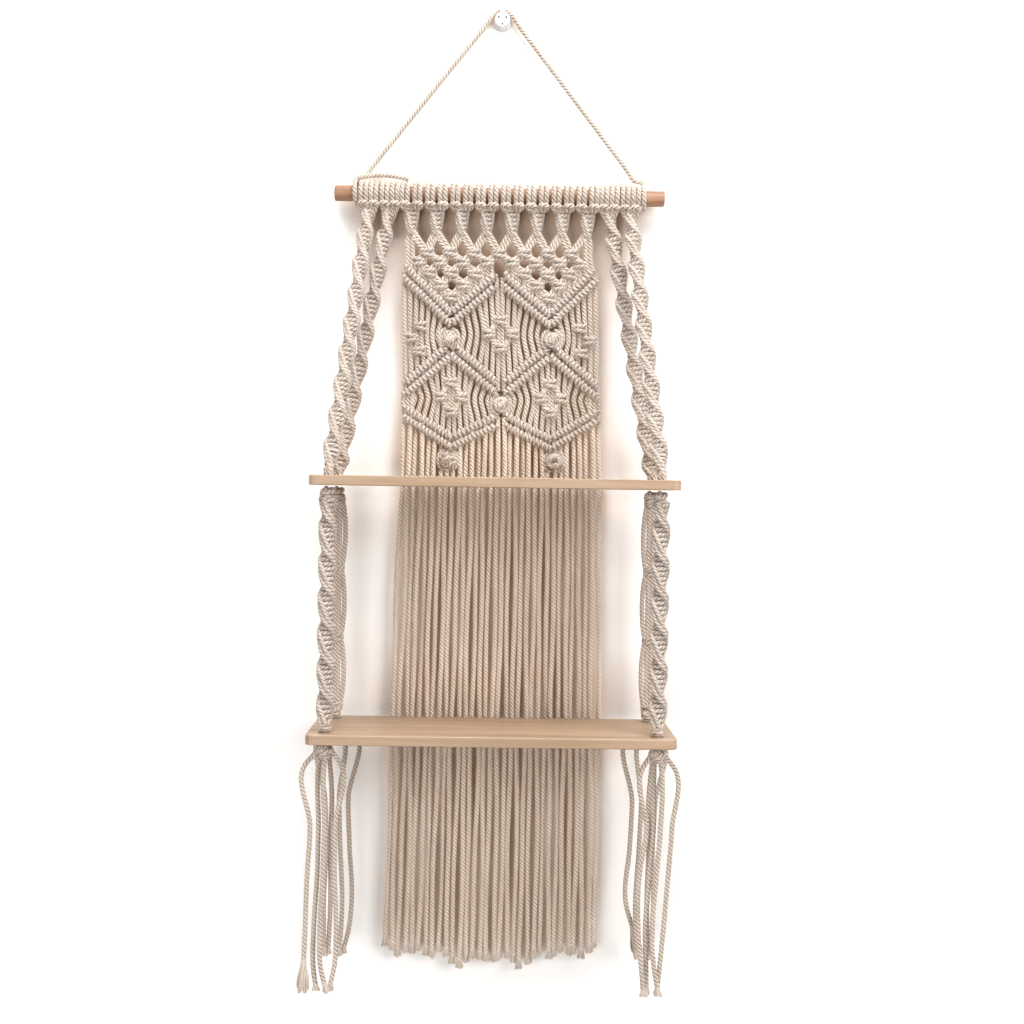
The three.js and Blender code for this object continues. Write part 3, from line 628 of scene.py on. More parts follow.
def half_knots(
    top, bottom, start_turn=0.0, wide=7.2, thin=BAND_THIN, end_share=1.0, half_turn=HALF_TURN, pinch=0.2
):
    """The ropes of a half-knot spiral; end_share narrows its last centimetre, pinch its thin side."""
    top, bottom = Vector(top), Vector(bottom)
    along = (bottom - top).normalized()
    across = (Vector((1, 0, 0)) - along * along.x).normalized()
    over = along.cross(across)
    length = (bottom - top).length

    def place(down, u, v):
        phase = down / half_turn - start_turn / math.pi
        turn = -math.pi * (phase + 0.06 * math.sin(2 * math.pi * (phase - 0.8)))
        narrow = 1 - (1 - end_share) * max(0.0, 1 - (length - down) / 12) - pinch * math.sin(turn) ** 2
        u, v = u * narrow, v * (0.4 + 0.6 * narrow)
        return (
            top + along * down
            + across * (u * math.cos(turn) - v * math.sin(turn))
            + over * (u * math.sin(turn) + v * math.cos(turn))
        )

    bars, edges = [], []
    steps = round(length / KNOT_RISE * 12)
    for start in (0, math.pi):
        line = []
        for k in range(steps + 1):
            loop = math.pi * length / KNOT_RISE * k / steps
            down = KNOT_RISE / math.pi * (loop + 0.4 * math.sin(2 * (loop + start)))
            side = math.cos(loop + start)
            u = (wide - 1.5) * math.copysign(abs(side) ** 0.7, side)
            v = (thin + 0.8 + 0.3 * math.sin(0.37 * down)) * math.sin(loop + start)
            line.append(place(min(max(down, 0.0), length), u, v))
        bars.append(smooth_path(line, 1.5))
    pieces = max(4, round(length / 4))
    thick = EDGE_THIN + thin - BAND_THIN
    for u, v in (
        (-wide, thick), (-wide, -thick), (wide, thick), (wide, -thick), (CORE_HALF, 0), (-CORE_HALF, 0)
    ):
        line = []
        for k in range(pieces + 1):
            down = length * k / pieces
            swell = 0.35 * math.sin(2 * math.pi * down / KNOT_RISE / 2 + u)
            line.append(place(down, u + math.copysign(swell, u), v))
        edges.append(smooth_path(line))
    return edges + bars


# %% Upper columns
COLUMN_X = {"front": 152, "rear": 127.4}
NECK = 3.0
HEAD_STEP = 6


def neck_ropes(x, y, top, bottom):
    """Four straight ropes in a board's hole."""
    paths = []
    for k in range(4):
        turn = math.pi / 2 * k + 0.5
        dx, dy = NECK * math.cos(turn), NECK * math.sin(turn)
        paths.append(smooth_path([(x + dx, y + dy, top), (x + dx, y + dy, bottom)], 2.0))
    return paths


for label, side in SIDES:
    for row in ("front", "rear"):
        x = side * COLUMN_X[row]
        hole = Vector((side * HOLE_X, HOLE_Y[row], UPPER_TOP + 5))
        top = Vector((x, DOWEL_Y, DOWEL_Z - WRAP_R - 3.5))
        paths = []
        for step in (-HEAD_STEP, HEAD_STEP):
            paths.append(larks_head(x + step, x + step * 0.35, DOWEL_Y - 2.5, DOWEL_Z - 25))
        paths += neck_ropes(hole.x, hole.y, hole.z + 3, UPPER_BOTTOM + 0.4)
        node = f"upper_column_{row}_{label}"
        rope_piece(f"upper_heads_{row}_{label}", paths, "upper_shelf", node, cotton)
        tied_piece(f"upper_spiral_{row}_{label}", half_knots(top, hole, end_share=0.5), "upper_shelf", node)
print("upper columns made")

# %% [markdown]
# ## Knots that carry the boards
# A fat round knot under each hole carries the board. It is a rope wound to a ball: the axis of
# its turns leans to and fro as they rise, so they cross as they do on a real stopper knot.


# %% Ball knots
def ball_knot(centre, radius, turns=4.5, squash=1.0):
    """Turns from the bottom of a ball to its top, while the axis leans to and fro."""
    line = []
    steps = round(turns * 26)
    for k in range(steps + 1):
        share = k / steps
        lean = 0.9 * math.sin(math.pi * 1.7 * share)
        turn = 2 * math.pi * turns * share
        reach = radius - ROPE
        rise = math.sin((share - 0.5) * math.pi * 0.82)
        ring = math.sqrt(max(0.05, 1 - rise * rise))
        place = Vector((reach * ring * math.cos(turn), reach * ring * math.sin(turn), reach * rise))
        place = Matrix.Rotation(lean, 3, "Y") @ place
        line.append(Vector(centre) + Vector((place.x, place.y, place.z * squash)))
    return line


# %% [markdown]
# ## Square knots
# A square knot is two half knots tied opposite ways. From the front it shows two bars over the
# core and a loop at one side, so one short path crosses in front twice and its copy, turned half
# round, crosses behind. The side of the loop changes from row to row. The lower columns use it
# too: at the rear they are ladders, with four such knots and ropes that bow out between them.


# %% One square knot
def square_knot(x, y, z, half_width=5.4, rise=2.7, front=4.3, mirror=1):
    """Two ropes: one crosses in front twice, the other behind twice."""
    w = half_width * mirror
    bar = [
        (x - w, y + 0.6, z + rise + 1.6), (x - 0.62 * w, y - 0.72 * front, z + rise + 0.5),
        (x, y - front, z + rise - 0.2), (x + 0.62 * w, y - 0.76 * front, z + rise - 0.9),
        (x + 1.06 * w, y - 0.15 * front, z + 0.9), (x + 1.06 * w, y - 0.15 * front, z - 0.9),
        (x + 0.62 * w, y - 0.76 * front, z - rise + 0.9), (x, y - front, z - rise + 0.2),
        (x - 0.62 * w, y - 0.72 * front, z - rise - 0.5), (x - w, y + 0.6, z - rise - 1.6),
    ]
    back = [(2 * x - px, 2 * y - py, pz) for px, py, pz in bar]
    return [smooth_path(bar), smooth_path(back)]


# %% Lower columns
STOPPER_R, END_R = 9.2, 8.0
STOPPER_Z = UPPER_BOTTOM - GAP - STOPPER_R
END_Z = LOWER_TOP + GAP + END_R
LADDER_TOP = STOPPER_Z - 6.5
LADDER_BOTTOM = END_Z + 6.5
LADDER_KNOTS = 4

for label, side in SIDES:
    x, y = side * HOLE_X, HOLE_Y["front"]
    paths = [ball_knot((x, y, STOPPER_Z), STOPPER_R), ball_knot((x, y, END_Z), END_R)]
    node = f"lower_column_front_{label}"
    rope_piece(f"lower_stoppers_{label}", paths, "lower_front_ropes", node, cotton)
    spiral = half_knots((x, y, STOPPER_Z - 4), (x, y, END_Z + 3), start_turn=-0.3, thin=3.7, pinch=0.05)
    tied_piece(f"lower_spiral_{label}", spiral, "lower_front_ropes", node)

    y = HOLE_Y["rear"]
    paths = [ball_knot((x, y, STOPPER_Z), STOPPER_R), ball_knot((x, y, END_Z), END_R)]
    for core in (-1, 1):
        paths.append(smooth_path([(x + core * 2.35, y, STOPPER_Z), (x + core * 2.35, y, END_Z)]))
        bow = []
        for k in range(25):
            share = k / 24
            swell = abs(math.sin(share * math.pi * (LADDER_KNOTS - 1)))
            z = LADDER_TOP + (LADDER_BOTTOM - LADDER_TOP) * share
            bow.append((x + core * (5.0 + 3.8 * swell ** 0.8), y + 0.8 * core * math.sin(9 * share), z))
        paths.append(smooth_path(bow))
    knots = []
    for k in range(LADDER_KNOTS):
        z = LADDER_TOP + (LADDER_BOTTOM - LADDER_TOP) * k / (LADDER_KNOTS - 1)
        knots += square_knot(x, y, z, half_width=6.0, mirror=1 if k % 2 else -1)
    node = f"lower_column_rear_{label}"
    rope_piece(f"lower_ladder_{label}", paths, "lower_rear_ropes", node, cotton)
    tied_piece(f"lower_ladder_knots_{label}", knots, "lower_rear_ropes", node)
print("lower columns made")

# %% [markdown]
# ## Tassels
# Below the lower board each corner ends in a knot and four loose ropes. They hang free, so each
# is its own piece. Their cut ends have opened into a small brush of yarns. One end at the front
# left and one at the rear right have come undone further than the others. Each rope's route is a
# few sideways steps, read off at fixed heights.


# %% Frayed ends
YARN = 0.85  # radius
YARN_PITCH = 60
yarn_section = make_section("yarn_section", 0.75)


def frayed_end(tip, heading, seed, length=9.0, spread=(2.4, 1.8), count=15):
    """Short yarns that fan out of a rope's cut end."""
    paths = []
    for k in range(count):
        turn = 2.4 * k + seed
        ring = math.sqrt((k + 0.5) / count)
        out = Vector((spread[0] * ring * math.cos(turn), spread[1] * ring * math.sin(turn), 0))
        start = tip + Vector((math.cos(turn), math.sin(turn), 0)) * 2.1 * ring
        reach = length * (0.9 + 0.14 * math.sin(5.3 * seed + 1.7 * k))
        paths.append(smooth_path([
            start - heading * 3, start + heading * reach * 0.3 + out * 0.35,
            start + heading * reach * 0.7 + out * 0.9, start + heading * reach + out,
        ], 2.5))
    return paths


def yarn_piece(name, paths, body, node):
    return rope_piece(name, paths, body, node, yarn_cotton, radius=YARN, pitch=YARN_PITCH, section=yarn_section)


# %% Tassels
TASSEL_KNOT_H = 18
LONG_FRAY = 34
STRAND_STOPS = [-848, -916, -970, -1033, -1070, -1097]
STRAND_ROUTES = {
    ("front", "left"): [
        [-20, -14.5, -17, -18.5, -19, -19.5], [-6.3, -6.3, -7, -10, -10, -7],
        [0, 1, 0, -2.5, -1, 4], [16.3, 12, 12, 14.5, 13, 9],
    ],
    ("front", "right"): [
        [-15.5, -10.6, -18, -17, -13, -11], [-2.5, -2.5, -6, -9, -7.5, -7],
        [4.7, 4.7, 1, -2.5, 1, 4.7], [19, 18, 14.6, 10, 7, 5],
    ],
    ("rear", "left"): [
        [-13, -10, -8, -10, -9.5, -9], [-4, -3, -4, -3, -4, -5],
        [6, 6, 8, 11, 10, 8], [19.5, 16, 18, 21.4, 18, 13],
    ],
}
STRAND_ROUTES["rear", "right"] = [[-dx for dx in route] for route in STRAND_ROUTES["rear", "left"]]
STRAND_DEPTHS = [-3.2, 3.2, -3.2, 3.2]
OPEN_ENDS = {("front", "left"): 0, ("rear", "right"): 3}
down = Vector((0, 0, -1))

for label, side in SIDES:
    for row in ("front", "rear"):
        x, y = side * HOLE_X, HOLE_Y[row]
        knot_z = LOWER_BOTTOM - GAP - TASSEL_KNOT_H / 2
        paths = [ball_knot((x, y, knot_z), 9.8, turns=5, squash=0.95)]
        paths += neck_ropes(x, y, LOWER_TOP - 0.4, knot_z)
        node = f"tassel_{row}_{label}"
        rope_piece(f"tassel_knot_{row}_{label}", paths, "lower_shelf", node, cotton)
        rise = 0 if row == "front" else 8
        for k, route in enumerate(STRAND_ROUTES[row, label]):
            root = math.copysign(1.5 + abs(route[0]) * 0.3, route[0])
            comes_open = OPEN_ENDS.get((row, label)) == k
            fray = LONG_FRAY if comes_open else 7 + 1.5 * math.sin(2.3 * k + x + y)
            depth = STRAND_DEPTHS[k]
            points = [
                (x + root, y + 0.3 * depth, knot_z + 1),
                (x + root + 0.5 * (route[0] - root), y + 0.7 * depth, knot_z - 6),
            ]
            last = STRAND_STOPS[-1] + fray
            for stop, dx in zip(STRAND_STOPS, route):
                if stop > last + 8:
                    points.append((x + dx, y + depth, stop + rise))
            points.append((x + route[-1], y + depth, last + rise))
            line = smooth_path(points)
            strand = rope_piece(f"tassel_strand_{row}_{label}_{k + 1}", [line], "lower_shelf", node, cotton)
            heading = (line[-1] - line[-4]).normalized().lerp(down, 0.3)
            if comes_open:
                ends = frayed_end(line[-1], heading, 0.7, length=fray - 1, spread=(5.2, 2.0), count=34)
            else:
                ends = frayed_end(line[-1], heading, 1.3 * k + x + y, length=fray)
            brush = yarn_piece(f"tassel_brush_{row}_{label}_{k + 1}", ends, "lower_shelf", node)
print("tassels made")

# %% [markdown]
# ## The knotted panel
# The panel is 32 ropes side by side. Spirals come first, then a net of square knots, then lines
# of hitches that cross as diamonds, and at last a long plain fringe. All of it is drawn on one
# flat plane behind the boards, by x to the right and drop below the hook. Most places are given
# for the right half and mirrored to the left one.


# %% Helpers for the panel's plane
PANEL_Y = DOWEL_Y
STRAND_PITCH = 7.2
CELL = 58  # half the width of a diamond
DRIFT_TOP, DRIFT_TURN, DRIFT_END = 263, 543, 1130


def drift(drop):
    """How far the soft panel has drifted to the right: most at the upper board, less below it."""
    if drop < DRIFT_TOP:
        return 0.0
    if drop < DRIFT_TURN:
        return 6.0 * math.sin(math.pi * ((drop - DRIFT_TOP) / (2 * (DRIFT_TURN - DRIFT_TOP))))
    return 6.0 * (0.25 + 0.75 * (DRIFT_END - drop) / (DRIFT_END - DRIFT_TURN))


def on_panel(x, drop, forward=0.0):
    """A place on the panel, moved towards the room by forward."""
    return (x + drift(drop), PANEL_Y - forward, -drop)


def panel_knot(x, drop, half_width, front, mirror):
    x, y, z = on_panel(x, drop, 0.4)
    return square_knot(x, y, z, half_width=half_width, rise=2.8, front=front, mirror=mirror)


def along_line(line, x):
    """The drop of a sloping line at x."""
    (x1, drop1), (x2, drop2) = line
    return drop1 + (drop2 - drop1) * (x - x1) / (x2 - x1)


def ridge_edge(inner, outer):
    """A function that gives the drop of a ridge's edge at any x of the panel."""
    return lambda x: along_line(inner if abs(x) < CELL else outer, abs(x))


# %% [markdown]
# ## Headers and net
# Eight short spirals hang from the dowel. Under them, ropes leave each knot as two pairs and meet
# the neighbours' pairs in the next row, so the knots and pairs make a net with small diamond holes.

# %% Headers
HEADER_X = [29.3 * (k - 3.5) for k in range(8)]
HEADER_TOP = 221.5
HEADER_BOTTOM = 253
for k, x in enumerate(HEADER_X):
    spiral = half_knots(
        on_panel(x, HEADER_TOP), on_panel(x, HEADER_BOTTOM), start_turn=0.2 + 0.12 * math.sin(2.1 * k),
        wide=6.6, end_share=0.7, half_turn=52,
    )
    paths = []
    for step in (-7.3, 7.3):
        paths.append(larks_head(x + step, x + step * 0.3, PANEL_Y - 2.5, -HEADER_TOP - 1))
    rope_piece(f"header_heads_{k + 1}", paths, "drape", f"panel_header_{k + 1}", cotton)
    tied_piece(f"header_spiral_{k + 1}", spiral, "drape", f"panel_header_{k + 1}")
print("headers made:", len(HEADER_X))

# %% Net
NET_ROWS = [
    (274, [0, 29.3, 57.1, 84.1]), (285, [14.7, 42.5, 69.4, 93.8]),
    (298, [28.4, 56.5, 81.2]), (312, [42.8, 69.1]), (326, [57.1]),
]
UPPER_OUT = [(109, 292), (58, 344.5)], [(112, 304), (58, 357.5)]
UPPER_IN = [(5.5, 299), (58, 344.5)], [(5.5, 312.5), (58, 357.5)]
EDGE_ROPE = [(102.5, 248), (106.5, 262), (106, 278), (108, 290), (110, 302)]
knots = []
for row, (drop, places) in enumerate(NET_ROWS):
    for x in places:
        knots += [(row, x, drop)] if x == 0 else [(row, -x, drop), (row, x, drop)]
paths, tied = [], []
for row, x, drop in knots:
    tied += panel_knot(x, drop - 0.6 * math.sin(1.7 * x + drop), 6.6, 5.2, 1 if row % 2 else -1)
    for upper_row, upper_x, upper_drop in knots:
        if upper_row == row - 1 and abs(upper_x - x) < 17:
            for shift in (-3.4, 3.4):
                paths.append(smooth_path([
                    on_panel(upper_x + 0.4 * shift, upper_drop),
                    on_panel(0.62 * upper_x + 0.38 * x + shift, 0.6 * upper_drop + 0.4 * drop, 0.8),
                    on_panel(0.38 * upper_x + 0.62 * x + shift, 0.4 * upper_drop + 0.6 * drop, 0.8),
                    on_panel(x + 0.4 * shift, drop),
                ]))
    if row == 0:
        for header_x in HEADER_X:
            if abs(header_x - x) < 20:
                for shift in (-2.7, 2.7):
                    paths.append(smooth_path([
                        on_panel(header_x + 0.5 * shift, HEADER_BOTTOM - 5),
                        on_panel(0.6 * header_x + 0.4 * x + shift, HEADER_BOTTOM + 7, 1),
                        on_panel(x + 0.4 * shift, drop),
                    ]))
for row, x, drop in knots:
    side = -1 if x < 0 else 1
    for shift in (-6.5, 0, 6.5):
        line = UPPER_IN[0] if abs(x) + shift * side < 57 else UPPER_OUT[0]
        foot = along_line(line, abs(x + shift))
        if x != 0 and 6 < foot - drop < 30:
            paths.append(smooth_path([
                on_panel(x + 0.4 * shift, drop), on_panel(x + 0.8 * shift, (drop + foot) / 2),
                on_panel(x + shift, foot),
            ]))
for side in (-1, 1):
    for shift in (0, -5.2):
        paths.append(smooth_path([on_panel(side * (x + shift), drop, 0.5) for x, drop in EDGE_ROPE]))
rope_piece("net_ropes", paths, "drape", "panel_net", cotton)
tied_piece("net_knots", tied, "drape", "panel_net")
print("net knots:", len(knots))

# %% [markdown]
# ## Ridges of hitches
# A rope held on a slant has every other rope hitched round it, one after the other. What shows is
# a tight coil whose turns stand across the slant. Two such coils side by side make each ridge, so
# each pair of lines below is the upper and the lower coil of one slant, out to the panel's edge or
# in to its middle.


# %% Ridges
COIL_PITCH = 5.1
COIL_R = 2.65
COIL_FORWARD = 3.0
MIDDLE_OUT = [(65, 386), (113, 427)], [(58, 394), (113, 440)]
MIDDLE_IN = [(51, 386), (5.5, 423.5)], [(58, 394), (5.5, 436)]
LOWER_OUT = [(113, 455), (58, 489.5)], [(113, 466.5), (58, 501)]
LOWER_IN = [(5.5, 463), (58, 489.5)], [(5.5, 474.2), (58, 501)]


def coil(start, end, seed):
    """Turns that travel little in front and more behind, so each bar stands straight across."""
    start, end = Vector(start), Vector(end)
    along = (end - start).normalized()
    side = along.cross(Vector((0, 1, 0))).normalized()
    length = (end - start).length
    turns = round(length / COIL_PITCH)
    line = []
    for k in range(turns * 12 + 1):
        angle = 2 * math.pi * k / 12
        share = min(max((angle - 0.7 * math.sin(angle)) / (2 * math.pi * turns), 0.0), 1.0)
        reach = COIL_R + 0.15 * math.sin(1.3 * angle / 6 + seed)
        bow = 0.5 * math.sin(math.pi * share + seed)
        line.append(
            start + along * (length * share) + side * (reach * math.sin(angle) + bow)
            + Vector((0, -1, 0)) * (reach * math.cos(angle) + COIL_FORWARD)
        )
    return line


RIDGES = (("upper", UPPER_OUT + UPPER_IN), ("middle", MIDDLE_OUT + MIDDLE_IN), ("lower", LOWER_OUT + LOWER_IN))
for label, side in SIDES:
    for name, lines in RIDGES:
        paths = []
        for k, ((x1, drop1), (x2, drop2)) in enumerate(lines):
            paths.append(coil(on_panel(side * x1, drop1), on_panel(side * x2, drop2), k + side))
        tied_piece(f"{name}_ridges_{label}", paths, "drape", f"ridges_{name}_{label}")
print("ridges made")

# %% [markdown]
# ## Berry knots
# Where the slants meet sits a berry: a short run of square knots rolled up into a ball. Its rope
# crosses over itself, so it is drawn as turns round an axis that rocks while they are wound. A
# smaller ball inside closes the gaps, and two ropes pass it at each side.


# %% Berries
BERRY_R = 10.4
SIDE_ROPE = ((0.3, -12.0, 0.3), (0.85, -7.5, 0.8), (1.0, 0, 1.0), (0.85, 7.5, 0.8), (0.3, 12.0, 0.3))


def berry(x, drop, seed):
    """Two balls of turns, one in the other; their axis rocks, so the turns cross like petals."""
    paths = []
    for size, start in ((BERRY_R, seed), (BERRY_R - 3.6, seed + 1.3)):
        line = []
        for k in range(121):
            share = k / 120
            turn = 2 * math.pi * 4.6 * share + start
            lift = math.sin((share - 0.5) * math.pi * 0.84)
            ring = math.sqrt(max(0.05, 1 - lift * lift))
            place = Vector((ring * math.cos(turn), ring * math.sin(turn), lift)) * (size - TIED)
            rock = 1.0 + 0.9 * math.sin(2.6 * math.pi * share + start)
            place = Matrix.Rotation(0.7, 3, "Y") @ Matrix.Rotation(rock, 3, "X") @ place
            line.append(Vector(on_panel(x + 1.06 * place.x, drop + place.z, 2.6 - 0.72 * place.y)))
        paths.append(line)
    for side in (-1, 1):
        for reach, rise in ((11.2, 2.0), (7.0, -1.0)):
            paths.append(smooth_path([
                on_panel(x + side * reach * share, drop + down_by, rise * height)
                for share, down_by, height in SIDE_ROPE
            ]))
    return paths


LOW_BERRY_X, LOW_BERRY_DROP = 62, 515.5
for label, side in SIDES:
    tied_piece(f"berry_rope_upper_{label}", berry(side * 60, 374, side), "drape", f"berry_upper_{label}")
    low_berry = berry(side * LOW_BERRY_X, LOW_BERRY_DROP, 2 * side)
    tied_piece(f"berry_rope_lower_{label}", low_berry, "drape", f"berry_lower_{label}")
tied_piece("berry_rope_centre", berry(0, 449.7, 0.7), "drape", "berry_centre")
print("berries made: 5")

# %% [markdown]
# ## Diamonds
# Inside each diamond the ropes run from the ridge above to the ridge below, and on behind both. In
# the middle sit four square knots that share the ropes between them, or three where the panel's
# edge cuts the diamond. The ropes bow a little towards the knots.


# %% Helpers for the diamonds
BEHIND_RIDGE = 9


def diamond_ropes(centre, knots, tops, bottoms, offsets, bow):
    """Ropes and knots of one diamond; the ropes bow towards the knots."""
    paths, tied = [], []
    middle = sum(drop for _, drop in knots) / len(knots)
    for offset in offsets:
        x = centre + offset
        top, bottom, lean = tops(x), bottoms(x), bow(offset)
        paths.append(smooth_path([
            on_panel(x, top - BEHIND_RIDGE, -1.2), on_panel(x, top - 2, -0.8),
            on_panel(x - 0.15 * lean, top + 5, -0.8), on_panel(x - lean, middle, -0.8),
            on_panel(x - 0.15 * lean, bottom - 5, -0.8), on_panel(x, bottom + 2, -0.8),
            on_panel(x, bottom + BEHIND_RIDGE, -1.2),
        ]))
    for index, (x, drop) in enumerate(knots):
        tied += panel_knot(x, drop, 6.3, 5.6, 1 if index % 2 else -1)
    return paths, tied


def knotted_bow(offset):
    """How far a rope leans to the centre: the inner ones to the knots, the outer ones a little."""
    return math.copysign((1.4, -2.6, 2.6, 6.0, 5.2, 4.6, 4.0)[int(abs(offset) / STRAND_PITCH)], offset)


def whole_diamond(centre, middle, reach, knot_x, link_x, tops, bottoms):
    """Ropes and knots of a diamond with four knots, and ropes that link the knots."""
    knots = [
        (centre, middle - reach), (centre - knot_x, middle), (centre + knot_x, middle), (centre, middle + reach)
    ]
    offsets = [sign * STRAND_PITCH * (k + 0.5) for k in range(7) for sign in (-1, 1)]
    paths, tied = diamond_ropes(centre, knots, tops, bottoms, offsets, knotted_bow)
    for way in (-1, 1):
        for side in (-1, 1):
            for shift in (2, 6):
                near, far = link_x + shift / 2, knot_x - 2 + shift / 2
                paths.append(smooth_path([
                    on_panel(centre + side * shift / 2, middle + way * reach),
                    on_panel(centre + side * near, middle + way * reach * 0.45, 1),
                    on_panel(centre + side * far, middle),
                ]))
    return paths, tied


# %% Diamonds
upper_edge, middle_top = ridge_edge(UPPER_IN[1], UPPER_OUT[1]), ridge_edge(MIDDLE_IN[0], MIDDLE_OUT[0])
middle_edge, lower_top = ridge_edge(MIDDLE_IN[1], MIDDLE_OUT[1]), ridge_edge(LOWER_IN[0], LOWER_OUT[0])
paths, tied = whole_diamond(0, 368, 16, 14, 7, upper_edge, middle_top)
rope_piece("centre_diamond", paths, "drape", "diamond_centre", cotton)
tied_piece("centre_diamond_knots", tied, "drape", "diamond_centre")

for label, side in SIDES:
    knots = [(side * 93, 360), (side * 103, 374), (side * 95, 389)]
    offsets = [side * STRAND_PITCH * k for k in range(-3, 4)]
    paths, tied = diamond_ropes(
        side * 90, knots, upper_edge, middle_top, offsets, lambda offset, s=side: -2.5 * s + 0.1 * offset
    )
    rope_piece(f"side_diamond_{label}", paths, "drape", f"diamond_side_{label}", cotton)
    tied_piece(f"side_diamond_knots_{label}", tied, "drape", f"diamond_side_{label}")

    paths, tied = whole_diamond(side * CELL, 442, 17, 12, 6, middle_edge, lower_top)
    for x in (104, 109, 113.5):
        edge_rope = [(x - 3, 430, 0.0), (x, 440, 0.6), (x + 0.6, 448, 1.2), (x, 458, 0.6)]
        paths.append(smooth_path([on_panel(side * place, drop, forward) for place, drop, forward in edge_rope]))
    rope_piece(f"lower_diamond_{label}", paths, "drape", f"diamond_lower_{label}", cotton)
    tied_piece(f"lower_diamond_knots_{label}", tied, "drape", f"diamond_lower_{label}")
print("diamonds made: 5")

# %% [markdown]
# ## The fringe
# Below the last ridges the ropes simply hang. Real rope keeps a memory of its coil, so no two hang
# quite alike: each wavers by a millimetre or two, every other one stands a little forward, and
# each end has opened. The two lower berries push the ropes beside them back and apart.

# %% Fringe
FRINGE_ENDS = [1104, 1102, 1100, 1106, 1112, 1108, 1098, 1094, 1100, 1098, 1092, 1096, 1094, 1100, 1092, 1088]
FRAY = 9
FRINGE_X, FRINGE_PITCH = 3.7, 7.3
STOPS = 14
fringe_top = ridge_edge(LOWER_IN[1], LOWER_OUT[1])
for label, side in SIDES:
    ropes, brushes = [], []
    for k, end in enumerate(FRINGE_ENDS):
        x = FRINGE_X + k * FRINGE_PITCH
        start = fringe_top(x) - BEHIND_RIDGE
        points = []
        for stop in range(STOPS + 1):
            share = stop / STOPS
            drop = start + (end - FRAY - start) * share
            slow = 1.3 * math.sin(2.3 * k + side + 7 * share) * share**0.5
            waver = slow + 0.7 * math.sin(4.1 * k + 19 * share)
            near_berry = math.exp(-(((drop - LOW_BERRY_DROP) / 9) ** 2) - ((x - LOW_BERRY_X) / 8) ** 2)
            forward = 1.4 * (-1) ** k + 0.8 * math.sin(3.7 * k + 5 * share) - 3.5 * near_berry
            away = 2.5 * near_berry * (1 if x > LOW_BERRY_X else -1)
            points.append(on_panel(side * (x * (1 + 0.09 * share**0.7) + away) + waver, drop, forward))
        line = smooth_path(points, 1.55)
        ropes.append(line)
        brushes += frayed_end(line[-1], down, 1.9 * k + side)
    rope_piece(f"fringe_ropes_{label}", ropes, "drape", f"fringe_{label}", lit_fringe_cotton)
    yarn_piece(f"fringe_brush_{label}", brushes, "drape", f"fringe_{label}")
print("fringe ropes:", 2 * len(FRINGE_ENDS))

# %% [markdown]
# ## The stage
# The shelf hangs on a wall, so the backdrop is a plain pale wall, and the light is soft. Wide lamps
# fill the narrow gaps between ropes more than a window does, so the wall gets painted shade: its
# colour turns brown and its glow for the camera fades where little of the room is open to it, and
# the gaps read deep. A camera behind the wall sees through it, so that the back of the shelf can
# be looked at too.

# %% Wall
for section in (rope_section, tied_section, yarn_section):
    bpy.data.objects.remove(section)
WALL_HALF = 3  # metres
mesh = bmesh.new()
bmesh.ops.create_grid(mesh, x_segments=1, y_segments=1, size=WALL_HALF)
bmesh.ops.rotate(mesh, verts=mesh.verts, cent=(0, 0, 0), matrix=Matrix.Rotation(math.pi / 2, 3, "X"))
bmesh.ops.translate(mesh, verts=mesh.verts, vec=(0, 0.001, -0.6))
wall_data = bpy.data.meshes.new("wall")
mesh.to_mesh(wall_data)
mesh.free()
wall = add_object("backdrop_wall", wall_data)
wall_paint_and_shade, nodes, links, shader = new_material("wall_paint_and_shade", 0.9)
# Painted shade: close to the shelf the occlusion node turns the wall's colour brown and dims its glow for the
# camera.
openness = nodes.new("ShaderNodeAmbientOcclusion")
openness.inputs["Distance"].default_value = 0.1
openness.samples = 6
free = spread_range(nodes, links, openness.outputs["AO"], 0.1, 0.8, smooth=True)
paint_and_shade = mix_colours(nodes, links, free, (0.68, 0.46, 0.30, 1), (0.97, 0.96, 0.95, 1))
links.new(paint_and_shade, shader.inputs["Base Color"])
shader.inputs["Emission Color"].default_value = (1, 1, 1, 1)
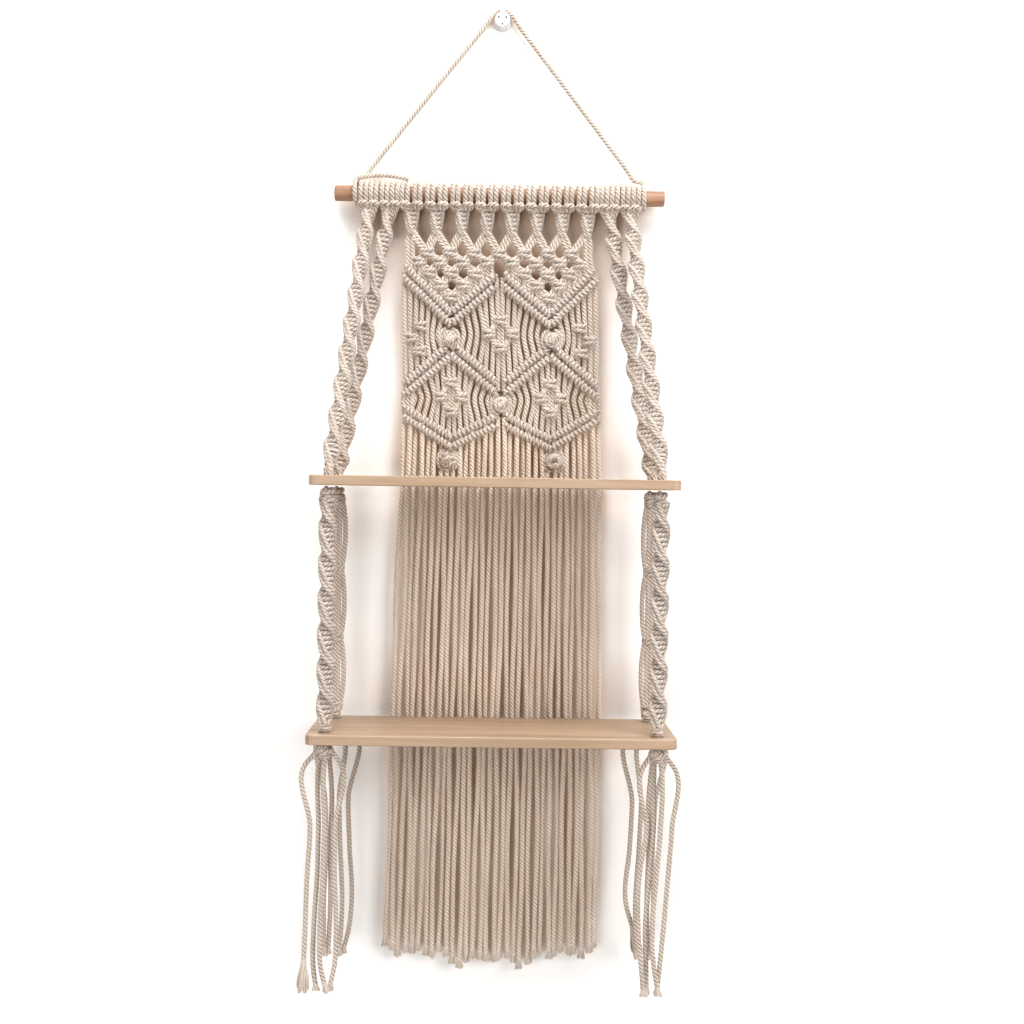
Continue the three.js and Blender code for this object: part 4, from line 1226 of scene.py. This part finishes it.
seen = nodes.new("ShaderNodeLightPath").outputs["Is Camera Ray"]
glow = calculate(nodes, links, "MULTIPLY", seen, 0.15)
links.new(calculate(nodes, links, "MULTIPLY", glow, free), shader.inputs["Emission Strength"])
back_side = nodes.new("ShaderNodeNewGeometry").outputs["Backfacing"]
behind = calculate(nodes, links, "MULTIPLY", seen, back_side)
clear = nodes.new("ShaderNodeBsdfTransparent")
mix_shaders(nodes, links, behind, shader.outputs[0], clear.outputs[0], nodes["Material Output"])
wall_data.materials.append(wall_paint_and_shade)
print("wall made")

# %% [markdown]
# A large lamp at the right is the main light. One above brightens the tops of the boards, and a
# weaker one from below on the left opens the shadows under them. The rest of the room is a dim
# warm grey to everything but the camera, which sees white past the edges of the wall.


# %% Lamps and surroundings
def soft_lamp(name, place, aim, width, height, power):
    data = bpy.data.lights.new(name, "AREA")
    data.shape = "RECTANGLE"
    data.size, data.size_y = width, height
    data.energy = power
    lamp = add_object(name, data)
    look = (Vector(aim) - Vector(place)).to_track_quat("-Z", "Y").to_matrix().to_4x4()
    lamp.matrix_world = Matrix.Translation(place) @ look


soft_lamp("key_light", (2.1, -2.5, 0.25), (0, 0, -0.85), 1.7, 1.7, 72)
soft_lamp("top_light", (0.1, -1.0, 1.3), (0, -0.05, -0.8), 1.8, 0.9, 56)
soft_lamp("low_light", (-1.1, -2.4, -1.4), (0, 0, -0.95), 1.8, 1.2, 36)
world = bpy.data.worlds.new("studio")
world.use_nodes = True
nodes, links = world.node_tree.nodes, world.node_tree.links
warm_fill = nodes["Background"]
warm_fill.inputs["Color"].default_value = (1.0, 0.80, 0.61, 1)
warm_fill.inputs["Strength"].default_value = 0.13
seen_white = nodes.new("ShaderNodeBackground")
seen_white.inputs["Color"].default_value = (1, 1, 1, 1)
seen = nodes.new("ShaderNodeLightPath").outputs["Is Camera Ray"]
mix_shaders(nodes, links, seen, warm_fill.outputs[0], seen_white.outputs[0], nodes["World Output"])
bpy.context.scene.world = world
bpy.context.scene.view_settings.view_transform = "Standard"
print("lamps:", len(bpy.data.lights))
